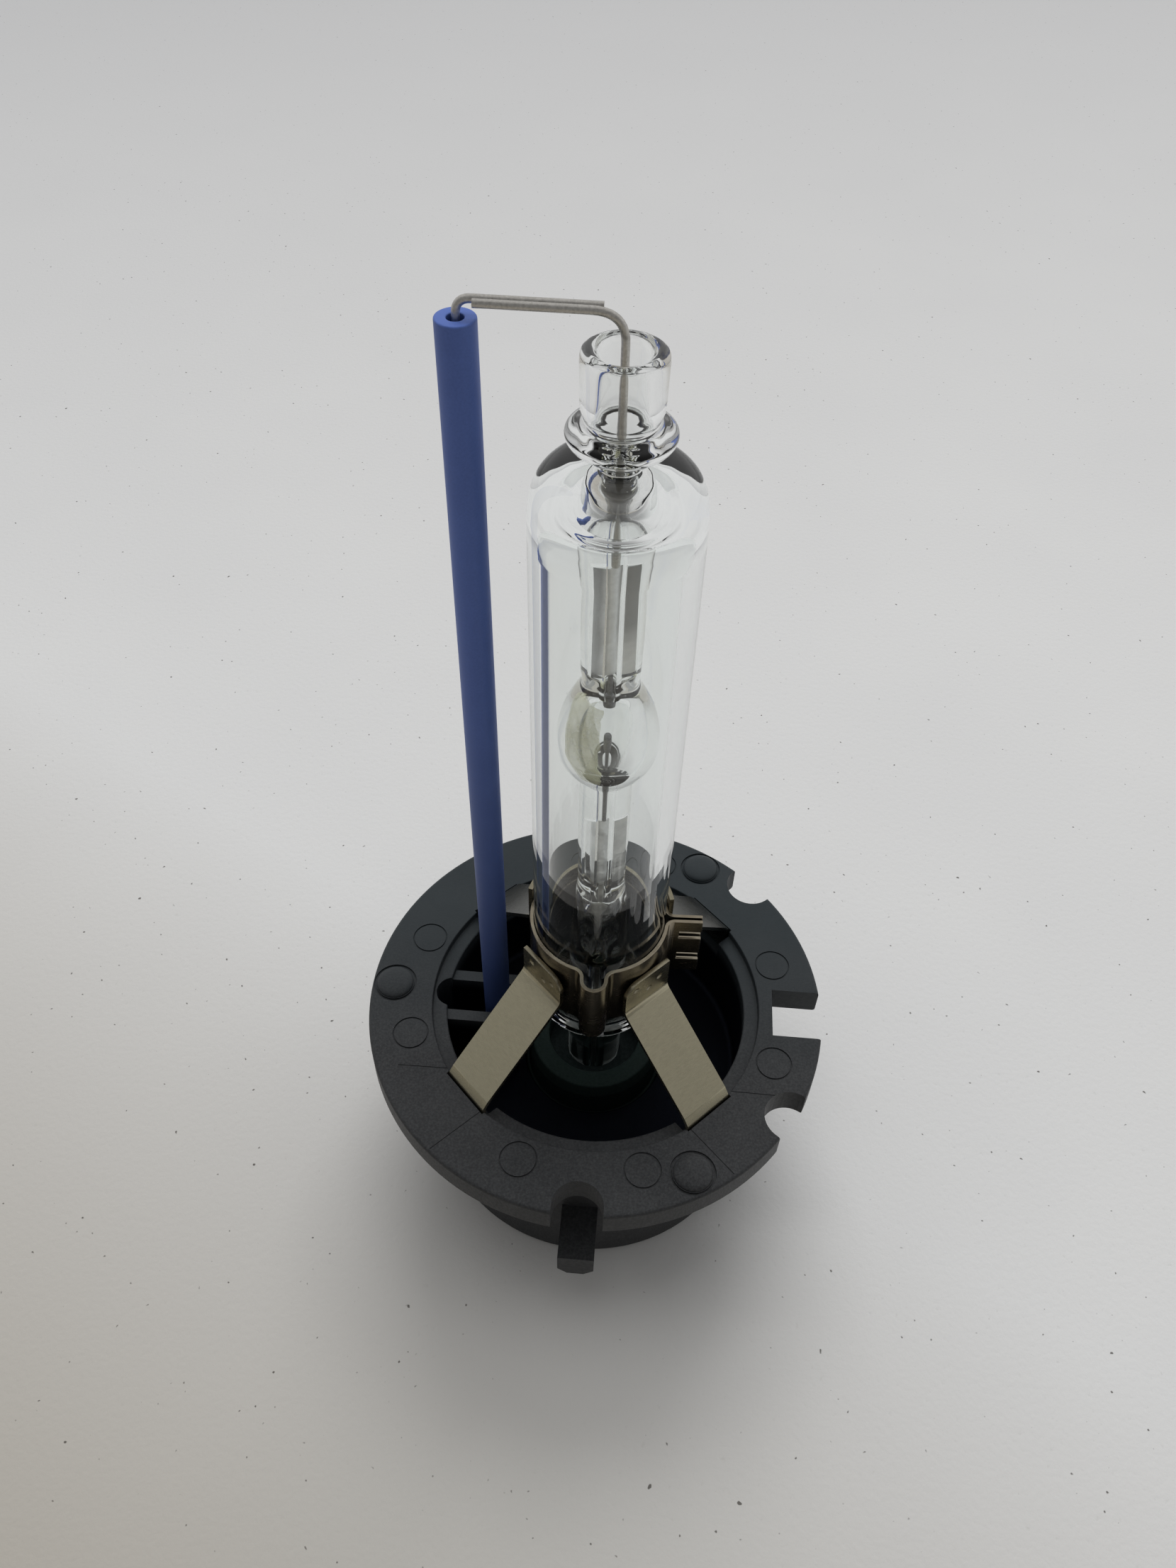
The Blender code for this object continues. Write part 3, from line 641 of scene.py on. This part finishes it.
def cap_outline():
    under = -FLANGE_THICKNESS
    return rounded_loop([
        (RECESS_RADIUS, 0.0, 0.1), (FLANGE_RADIUS, 0.0, 0.28), (FLANGE_RADIUS, under, 0.22),
        (SKIRT_RADIUS, under, 0.35), (SKIRT_RADIUS, RIM, 0.35), (SKIRT_BORE, RIM, 0.3),
        (SKIRT_BORE, WEB_UNDERSIDE, 0.25), (WEB_HOLE, WEB_UNDERSIDE, 0.12), (WEB_HOLE, -WELL_DEPTH, 0.12),
        (WELL_RADIUS, -WELL_DEPTH, 0.5), (WELL_RADIUS, -LEDGE_DEPTH, 0.14),
        (RECESS_RADIUS, -LEDGE_DEPTH, 0.1),
    ])


def lug(angle):
    """A locking lug: flat on top, its lower corners cut off, rooted in the skirt."""
    half, low, cut = LUG_SIZE / 2, LUG_TOP - LUG_SIZE, 0.7
    face = [(-half, LUG_TOP), (half, LUG_TOP), (half, low + cut), (half - cut, low), (cut - half, low),
            (-half, low + cut)]
    return turn(bar(face, SKIRT_RADIUS - 0.6, LUG_REACH), angle)


def boss(angle):
    """A low dome on the flange's face."""
    radius, height, sunk = 1.36, 0.42, 0.4
    dome = [(radius * math.cos(a) ** 0.8, height * math.sin(a) ** 0.9)
            for a in (math.pi / 2 * k / 12 for k in range(13))]
    shape = turned([(radius, -sunk)] + dome + [(0.0, -sunk)], 48)
    return turn(at(shape, BOSS_RING, 0), angle)


def ring_groove(radius, width, depth):
    low, high = -depth, 0.2
    return turned([(radius - width / 2, low), (radius + width / 2, low), (radius + width / 2, high),
                   (radius - width / 2, high)], 48)


def line_groove(start, end, width, depth):
    """A shallow straight groove in the flange's face."""
    along = Vector(end) - Vector(start)
    shape = block((0, -width / 2, -depth), (along.length, width / 2, 0.2))
    turn(shape, math.degrees(math.atan2(along.y, along.x)))
    return at(shape, *start)


def flange_marks():
    """What the mould leaves on the flange: ejector rings, a moat round each dome, and lines by the feet."""
    marks = []
    for middle in (0, 90, 180, -90):
        for side in (-18, 17.5):
            marks.append(turn(at(ring_groove(MARK_RADIUS, 0.12, 0.1), MARK_RING, 0), middle + side))
    for angle in BOSS_ANGLES:
        marks.append(turn(at(ring_groove(1.5, 0.18, 0.14), BOSS_RING, 0), angle))
    for side in (-1, 1):
        marks.append(line_groove((side * 9.75, -6.75), (side * 13.6, -6.8), 0.06, 0.05))
        marks.append(line_groove((side * 7.3, -9.9), (side * 10.3, -12.9), 0.06, 0.05))
    return joined(marks)


def cap_cutters():
    """All that is cut through the flange: coding notch, round notches, lug windows and leg pockets."""
    below, above = THROUGH_FLANGE
    cutters = [block((CODING_NOTCH_FLOOR, -CODING_NOTCH_HALF, below),
                     (BEYOND_FLANGE, CODING_NOTCH_HALF, above))]
    for angle in RIM_NOTCH_ANGLES:
        notch = arc((RIM_NOTCH_CENTRE, 0.0), RIM_NOTCH_RADIUS, 0, 352, 44)
        cutters.append(turn(prism(notch, below, above), angle))
    for angle in LUG_ANGLES:
        half = LUG_WINDOW_HALF
        window = arc((LUG_WINDOW_CENTRE, 0.0), half, 90, 270, 28)
        window += [(BEYOND_FLANGE, -half), (BEYOND_FLANGE, half)]
        cutters.append(turn(prism(window, below, above), angle))
    for leg in LEGS:
        half = LEG_WIDTH / 2 + 0.12
        pocket = block((10.5, -half, -2.4), (LEG_FOOT_RADIUS + 0.27, half, above))
        cutters.append(turn(pocket, leg["angle"]))
    return joined(cutters)


def build_cap():
    cap = as_object("cap_moulding", turned(cap_outline(), 144))
    combine(cap, cap_cutters())
    combine(cap, joined([lug(angle) for angle in LUG_ANGLES]), "UNION")
    ribs = [block((-11.6, near, -WELL_DEPTH - 0.5), (-5.6, near + RIB_THICKNESS, -1.0)) for near in RIB_SIDES]
    combine(cap, joined(ribs), "UNION")
    combine(cap, prism(arc((GROOVE_X, 0.0), GROOVE_RADIUS, 5, 350, 46), -5.0, 1))
    combine(cap, prism(arc((TUBE_X, 0.0), 1.04, 0, 345, 23), -10, -6))
    soften_edges(cap, 0.09)
    combine(cap, joined([boss(angle) for angle in BOSS_ANGLES]), "UNION")
    combine(cap, flange_marks())
    finish_piece(cap, PLASTIC, "cap_plastic", "cap_body", smooth=35)


def build_rear_connector():
    disc_top = WEB_UNDERSIDE - 0.05
    core = as_object("plug_core", turned(rounded_loop([
        (5.25, -8.0, 0.15), (5.25, disc_top, 0.0), (6.0, disc_top, 0.1), (6.0, disc_top - 1.15, 0.2),
        (4.2, disc_top - 1.15, 0.15), (4.2, -15.4, 0.2), (3.2, -15.4, 0.2), (3.2, -11.0, 0.2),
        (0.95, -11.0, 0.08), (0.95, -9.4, 0.0), (2.1, -9.4, 0.0), (2.1, -8.0, 0.1)])))
    finish_piece(core, INSULATOR, "insulator", "connector_core")
    pin = as_object("high_voltage_pin", turned(rounded_loop([
        (0.9, -9.6, 0.0), (0.9, -11.05, 0.0), (1.6, -11.05, 0.1), (1.6, -11.4, 0.1), (1.2, -11.4, 0.06),
        (1.2, -14.9, 0.35), (0.4, -14.9, 0.1), (0.4, -9.6, 0.0)]), 64))
    finish_piece(pin, BRASS, "contact_brass", "contact_pin")
    ring = as_object("return_contact_ring", turned(rounded_loop([
        (4.55, -11.0, 0.06), (4.55, -14.6, 0.12), (4.25, -14.6, 0.06), (4.25, -11.0, 0.06)])))
    finish_piece(ring, BRASS, "contact_brass", "ring_contact")
    strip = as_object("return_strip", block((-8.4, -1.0, -10.95), (-4.3, 1.0, -10.65)))
    combine(strip, prism(arc((TUBE_X, 0.0), 0.26, 0, 330, 22), -12, -10))
    soften_edges(strip, 0.05)
    finish_piece(strip, BRASS, "contact_brass", "return_terminal")


def build_stem_foot():
    sleeve = as_object("stem_collar", turned(rounded_loop([
        (4.8, -4.6, 0.18), (5.05, -5.6, 0.2), (5.05, -7.95, 0.05), (3.45, -7.95, 0.05), (3.45, -4.6, 0.22)])))
    finish_piece(sleeve, INSULATOR, "insulator", "stem_sleeve")
    seat = as_object("stem_bedding", turned([
        (3.4, -6.25), (3.4, -7.9), (2.05, -7.9), (2.05, -6.45), (2.3, -6.6), (2.7, -6.65), (3.1, -6.5)]))
    finish_piece(seat, CEMENT, "cement", "stem_cement")


# ---------------------------------------------------------------- legs and clamp band


def corner_cutter(top, side):
    """What comes off a tab's upper corner to round it."""
    radius, outward = 1.1, math.copysign(1, side)
    middle = side - outward * radius
    curve = [(middle + outward * radius * math.sin(a), top - radius + radius * math.cos(a))
             for a in (math.pi / 2 * k / 10 for k in range(11))]
    outline = curve + [(side + outward, top - radius), (side + outward, top + 1), (middle, top + 1)]
    return bar(outline, 4, 6)


def weld_dimples(face, top):
    """Small balls that leave three shallow spots on a tab's outer face."""
    radius, sunk = 0.4, 0.09
    dimples = []
    for side, drop in ((-1.05, 0.75), (0.1575, 1.5), (1.05, 1.0)):
        ball = bmesh.new()
        bmesh.ops.create_uvsphere(ball, u_segments=24, v_segments=12, radius=radius)
        dimples.append(at(ball, face + radius - sunk, side, top - drop))
    return joined(dimples)


def build_leg(leg):
    tab = BAND_BORE + BAND_SHEET + 0.05 + LEG_SHEET / 2
    path = rounded_path([(tab, leg["tab_top"]), (tab, leg["bend"]), (11.5, 0.6), (LEG_FOOT_RADIUS, 0.05),
                         (LEG_FOOT_RADIUS, -2.2)], [0.9, 0.3, 0.3])
    half = LEG_WIDTH / 2
    bent = moved(prism(ribbon(path, LEG_SHEET), -half, half), UPRIGHT)
    strip = as_object(f"{leg['name']}_strip", turn(bent, leg["angle"]))
    if leg["rounded_side"]:
        combine(strip, turn(corner_cutter(leg["tab_top"], half * leg["rounded_side"]), leg["angle"]))
        combine(strip, turn(weld_dimples(tab + LEG_SHEET / 2, leg["tab_top"]), leg["angle"]))
    else:
        pad = prism(ribbon(arc((0, 0), tab, -PAD_SPAN, PAD_SPAN, 40), LEG_SHEET), PAD_LOW, PAD_HIGH)
        combine(strip, turn(pad, leg["angle"]), "UNION")
    soften_edges(strip, 0.05)
    finish_piece(strip, LEG_STEEL, "leg_steel", leg["name"])


def band_path():
    """The band's centre line seen from above: ear, wall, loop, wall, ear, with the ears along +X."""
    wall = BAND_BORE + BAND_SHEET / 2
    ear_end, ear_y, ear_fillet = 7.05, 0.21, 0.6
    fillet_y = ear_y + ear_fillet
    fillet_x = math.sqrt((wall + ear_fillet) ** 2 - fillet_y ** 2)
    ear_angle = math.degrees(math.atan2(fillet_y, fillet_x))
    loop_half, loop_end, loop_fillet = 0.8, 6.05, 0.7
    loop_y = loop_half + loop_fillet
    loop_x = math.sqrt((wall + loop_fillet) ** 2 - loop_y ** 2)
    loop_angle = math.degrees(math.atan2(loop_y, loop_x))
    tilt = math.radians(-90 - EAR_ANGLE)
    loop = arc((loop_x, -loop_y), loop_fillet, 180 - loop_angle, 90, 8)
    loop += arc((loop_end - loop_half, 0.0), loop_half, -90, 90, 24)
    loop += arc((loop_x, loop_y), loop_fillet, -90, loop_angle - 180, 8)
    loop = [(x * math.cos(tilt) - y * math.sin(tilt), x * math.sin(tilt) + y * math.cos(tilt))
            for x, y in loop]
    front = [(ear_end, -ear_y)] + arc((fillet_x, -fillet_y), ear_fillet, 90, 180 - ear_angle, 10)
    back = arc((fillet_x, fillet_y), ear_fillet, 180 + ear_angle, 270, 10) + [(ear_end, ear_y)]
    loop_at = math.degrees(tilt)
    first = arc((0, 0), wall, -ear_angle, loop_at + loop_angle, 28)[1:-1]
    second = arc((0, 0), wall, loop_at - loop_angle, ear_angle - 360, 90)[1:-1]
    return front + first + loop[::-1] + second + back


def build_band():
    sheet = prism(ribbon(band_path(), BAND_SHEET), BAND_LOW, BAND_HIGH)
    band = as_object("band_strip", turn(sheet, EAR_ANGLE))
    slots = [turn(block((5.5, -2, low), (8, 2, high)), EAR_ANGLE) for low, high in ((8.55, 9.3), (6.1, 6.85))]
    combine(band, joined(slots))
    soften_edges(band, 0.05)
    finish_piece(band, BAND_STEEL, "band_steel", "clamp_band")


# ---------------------------------------------------------------- glass


def jacket_outline():
    outer = smooth_line([(1.02, 46.0), (1.7, 46.1), (2.4, 46.08), (3.2, 45.82), (3.9, 45.22), (4.3, 44.4),
                         (JACKET_RADIUS, 43.3)])
    foot = corner((JACKET_RADIUS, 5.0), (JACKET_RADIUS, 1.7), (2.2, 1.7), 0.55, 6)
    inner_foot = corner((2.1, 2.5), (3.45, 2.5), (3.45, 5.0), 0.6, 6)
    inner = smooth_line([(3.45, 41.4), (3.38, 42.0), (3.2, 42.6), (2.85, 43.05), (2.4, 43.25), (1.98, 43.15),
                         (1.72, 43.2)], 4)
    throat = smooth_line([(1.64, 43.5), (1.62, 44.6), (1.35, 45.3), (1.02, 45.8)], 4)
    return outer + foot + [(2.05, 1.7), (2.05, 2.45)] + inner_foot + inner + throat


def burner_outline():
    """Outer wall from the open top to the foot, then the bore from the foot up."""
    top = [(1.55, 51.8), (1.88, 51.7), (2.02, 51.4), (2.0, 50.2), (1.96, 49.0), (1.8, 48.5), (2.0, 48.2),
           (2.5, 47.98), (2.66, 47.7), (2.5, 47.3), (1.8, 46.75), (1.2, 46.4), (0.96, 46.1), (1.0, 45.75),
           (1.28, 45.2), (1.5, 44.5), (1.56, 43.0), (1.66, 40.5), (1.72, 37.0), (1.68, 34.0), (1.62, 33.0),
           (1.74, 32.4), (2.15, 31.6), (2.65, 30.6), (2.93, 29.6), (2.98, 28.7), (2.84, 27.5), (2.45, 26.5),
           (2.0, 25.9), (1.66, 25.4), (1.58, 24.7), (1.6, 20.0), (1.55, 16.0), (1.6, 14.8), (1.78, 13.0),
           (1.93, 10.5), (2.0, 8.5), (2.0, 5.0)]
    channel = 0.35
    pocket = [(channel, 7.1), (1.2, 7.35), (1.5, 8.1), (1.52, 9.5), (1.38, 12.3), (1.2, 14.0), (1.1, 14.25),
              (1.0, 13.9), (0.85, 12.6), (0.62, 10.2), (0.5, 9.5), (channel, 9.3)]
    chamber = [(1.45 * math.cos(math.radians(a)), CHAMBER_CENTRE + 2.8 * math.sin(math.radians(a)))
               for a in range(-76, 77, 8)]
    bore = smooth_line([(channel, 46.7), (0.55, 46.85), (1.0, 47.35), (1.3, 48.0), (1.26, 48.7), (1.12, 49.3),
                        (1.1, 51.2), (1.25, 51.6)], 4)
    return (smooth_line(top) + [(2.0, -9.2), (channel, -9.2)] + smooth_line(pocket, 4) + [(channel, 25.0)]
            + chamber + [(channel, 32.4)] + bore)


def crumple(shape, low, high, amount):
    """Folds the glass between two heights, as the pinch of the lower stem does."""
    for vert in shape.verts:
        middle, half = (low + high) / 2, (high - low) / 2
        fade = max(0.0, 1.0 - ((vert.co.z - middle) / half) ** 2)
        radius = math.hypot(vert.co.x, vert.co.y)
        if not fade or radius < 0.4 or radius > 1.54:
            continue
        place = Vector((vert.co.x * 1.6, vert.co.y * 1.6, vert.co.z * 0.9))
        push = noise.noise(place) * amount * fade
        vert.co.x *= 1 + push / radius
        vert.co.y *= 1 + push / radius
        vert.co.z += noise.noise(place + Vector((7.3, 1.1, 3.9))) * amount * fade
    return shape


def build_glass():
    jacket = as_object("jacket_tube", turned(jacket_outline()))
    finish_piece(jacket, JACKET_GLASS, "quartz", "outer_jacket", smooth=60)
    burner = as_object("burner_tube", crumple(turned(burner_outline(), 96), 7.5, 15.0, 0.35))
    for low, high in (LOWER_FOIL, UPPER_FOIL):
        combine(burner, turn(block((-0.81, -0.12, low - 0.1), (0.81, 0.12, high + 0.1)), FOIL_ANGLE))
    finish_piece(burner, BURNER_GLASS, "quartz", "arc_tube", smooth=50)


def build_foil(name, span, node):
    """A thin strip with knife edges and faint waves."""
    half_width, thickness, rows, columns = 0.75, 0.06, 24, 8

    def place(side, i, k):
        height = span[0] + (span[1] - span[0]) * i / rows
        x = half_width * (2 * k / columns - 1)
        wave = noise.noise(Vector((x * 1.5, side * 0.01, height * 0.9))) * 0.05
        edge = 1 - (abs(x) / half_width) ** 2 * 0.85
        return (x, wave + side * thickness / 2 * edge, height)

    strip = turn(closed_sheet((-1, 1), rows, columns, place), FOIL_ANGLE)
    finish_piece(as_object(name, strip), MOLYBDENUM, "molybdenum", node, smooth=60)


def build_electrode(name, root, tip, node):
    out = 1 if tip > root else -1
    outline = [(0.0, root), (0.14, root), (0.14, tip - out * 1.2)]
    outline += smooth_line([(0.15, tip - out * 1.18), (0.27, tip - out * 1.05), (0.28, tip - out * 0.15),
                            (0.2, tip - out * 0.02)], 4)
    outline.append((0.0, tip))
    finish_piece(as_object(name, turned(outline, 32)), TUNGSTEN, "tungsten", node)


def build_salts():
    """The salts, a ragged film in the glass on the left of the chamber."""
    rows, columns = 22, 28

    def place(outside, i, k):
        tilt = math.radians(-60 + 116 * i / rows)
        radius = 1.45 * math.cos(tilt) + outside
        height = CHAMBER_CENTRE + (2.8 + outside) * math.sin(tilt)
        ragged = noise.noise(Vector((0.0, i * 0.35, 4.0 if k * 2 < columns else 9.0))) * 14
        angle = math.radians(140 + ragged + 118 * k / columns)
        return (radius * math.cos(angle), radius * math.sin(angle), height)

    film = closed_sheet((0.08, 0.04), rows, columns, place)
    finish_piece(as_object("salt_film", film), SALTS, "salts", "salt_pool", smooth=60)


# ---------------------------------------------------------------- conductors


def bent_wire(corners, reaches, steps=10):
    """Wire through three-dimensional corners, each bend leaving its corner out by a reach."""
    spots = [Vector(spot) for spot in corners]
    points = [spots[0]]
    for i, reach in enumerate(reaches, start=1):
        first = spots[i] + (spots[i - 1] - spots[i]).normalized() * reach
        last = spots[i] + (spots[i + 1] - spots[i]).normalized() * reach
        points += [first * (1 - t) ** 2 + spots[i] * 2 * t * (1 - t) + last * t ** 2
                   for t in (k / steps for k in range(steps + 1))]
    return points + [spots[-1]]


def build_conductors():
    bridge, lead_y, return_y = 53.55, -0.2, 0.22
    wires = (
        ("burner_lead", "upper_lead", [(0, 0, UPPER_FOIL[1] + 0.05), (0, 0, 51), (0, lead_y, bridge),
                                       (-6.6, lead_y, bridge)], [0.6, 1.5]),
        ("return_conductor", "return_wire", [(-1.0, return_y, bridge), (TUBE_X, return_y, bridge),
                                             (TUBE_X, 0, 52), (TUBE_X, 0, -11.2)], [0.7, 0.5]),
        ("stem_lead", "lower_lead", [(0, 0, LOWER_FOIL[0] - 0.05), (0, 0, 0), (0, 0, -13)], [0.5]),
    )
    for name, node, corners, reaches in wires:
        wire = as_object(name, sweep(bent_wire(corners, reaches), WIRE_RADIUS))
        finish_piece(wire, NICKEL, "nickel_wire", node, smooth=50)


def build_ceramic():
    tube = as_object("insulating_tube", at(turned(rounded_loop([
        (0.96, TUBE_TOP, 0.1), (0.96, -9.4, 0.0), (0.4, -9.4, 0.0), (0.4, TUBE_TOP, 0.08)]), 64), TUBE_X, 0))
    finish_piece(tube, CERAMIC, "blue_ceramic", "ceramic_tube")


# ---------------------------------------------------------------- stage


def build_floor():
    mesh = bpy.data.meshes.new("floor")
    half = 1.5
    corners = [(-half, -half, 0), (half, -half, 0), (half, half, 0), (-half, half, 0)]
    mesh.from_pydata(corners, [], [(0, 1, 2, 3)])
    floor = bpy.data.objects.new("floor", mesh)
    bpy.context.scene.collection.objects.link(floor)
    nodes = Nodes("pale_floor")
    specks = nodes.noise(0.5, 2.0)
    clouds = nodes.noise(30.0, 2.0)
    paper = nodes.mix(0.5, nodes.ramp(clouds, (0.3, (0.6, 0.6, 0.6)), (0.7, (0.64, 0.64, 0.635))),
                      nodes.ramp(specks, (0.2, (0.5, 0.5, 0.49)), (0.34, (0.62, 0.62, 0.615))))
    shade = nodes.between(nodes.along((-0.5, -0.86, 0.0)), -0.005, 0.05)
    # Painted shade: the floor darkens away from the camera, between 5 cm and 30 cm towards the back.
    far = nodes.between(nodes.along((-0.25, 0.97, 0.0)), 0.05, 0.3)
    near = nodes.mix(shade, paper, (0.4, 0.376, 0.335))
    dust = nodes.ramp(nodes.noise(0.55, 1.0), (0.2, (0.25, 0.24, 0.23)), (0.25, (1.0, 1.0, 1.0)))
    nodes.color(nodes.mix(1.0, nodes.mix(far, near, (0.46, 0.46, 0.463)), dust, "MULTIPLY"))
    nodes.set(Roughness=0.75)
    nodes.normal(nodes.bump(specks, 0.06, 0.5))
    mesh.materials.append(nodes.material)


def softbox(name, place, target, size, power):
    """A lamp that lights the scene without showing in the glass or the metal."""
    light = bpy.data.lights.new(name, "AREA")
    light.shape = "RECTANGLE"
    light.size, light.size_y = size
    light.energy = power
    obj = bpy.data.objects.new(name, light)
    bpy.context.scene.collection.objects.link(obj)
    obj.visible_glossy = obj.visible_transmission = False
    obj.location = place
    obj.rotation_mode = "QUATERNION"
    obj.rotation_quaternion = (Vector(target) - Vector(place)).to_track_quat("-Z", "Y")


def build_world():
    """A pale room, dim on the camera's side."""
    world = bpy.data.worlds.new("room")
    bpy.context.scene.world = world
    world.use_nodes = True
    tree = world.node_tree
    place = tree.nodes.new("ShaderNodeTexCoord")
    split = tree.nodes.new("ShaderNodeSeparateXYZ")
    backward = tree.nodes.new("ShaderNodeMapRange")
    backward.interpolation_type = "SMOOTHSTEP"
    tree.links.new(place.outputs["Generated"], split.inputs["Vector"])
    for socket, value in (("From Min", -0.6), ("From Max", 0.35), ("To Min", 0.25), ("To Max", 0.68)):
        backward.inputs[socket].default_value = value
    tree.links.new(split.outputs["Y"], backward.inputs["Value"])
    tree.links.new(backward.outputs["Result"], tree.nodes["Background"].inputs["Strength"])
    tree.nodes["Background"].inputs["Color"].default_value = (1.0, 1.0, 1.0, 1.0)


def build_camera():
    """The photograph's view: close, and looking steeply down on the lamp."""
    pitch, yaw, roll = math.radians(47.72), math.radians(-3.29), math.radians(1.73)
    ahead = Vector((math.sin(yaw) * math.cos(pitch), math.cos(yaw) * math.cos(pitch), -math.sin(pitch)))
    right = Vector((math.cos(yaw), -math.sin(yaw), 0.0))
    up = right.cross(ahead)
    across = right * math.cos(roll) + up * math.sin(roll)
    upward = up * math.cos(roll) - right * math.sin(roll)
    data = bpy.data.cameras.new("camera")
    data.lens = 28.34
    data.sensor_width = 36.0
    data.clip_start, data.clip_end = 0.001, 10.0
    camera = bpy.data.objects.new("camera", data)
    bpy.context.scene.collection.objects.link(camera)
    camera.matrix_world = Matrix.Translation((0.00181, -0.05, REFERENCE + 0.07867)) @ Matrix(
        (across, upward, -ahead)).transposed().to_4x4()
    bpy.context.scene.camera = camera


build_cap()
build_rear_connector()
build_stem_foot()
for leg in LEGS:
    build_leg(leg)
build_band()
build_glass()
build_foil("lower_seal_foil", LOWER_FOIL, "lower_foil")
build_foil("upper_seal_foil", UPPER_FOIL, "upper_foil")
build_electrode("lower_electrode_rod", LOWER_FOIL[1] + 0.05, LOWER_TIP, "lower_electrode")
build_electrode("upper_electrode_rod", UPPER_FOIL[0] - 0.05, UPPER_TIP, "upper_electrode")
build_salts()
build_conductors()
build_ceramic()

build_floor()
build_world()
softbox("window", (0.02, 0.9, 1.1), (0, 0, 0.02), (0.9, 0.5), 8.9)
softbox("ceiling", (-0.1, 0.15, 1.4), (0, 0, 0.02), (0.9, 0.7), 4.0)
build_camera()
bpy.context.scene.view_settings.view_transform = "Standard"
bpy.context.scene.cycles.transmission_bounces = 20
bpy.context.scene.cycles.max_bounces = 24
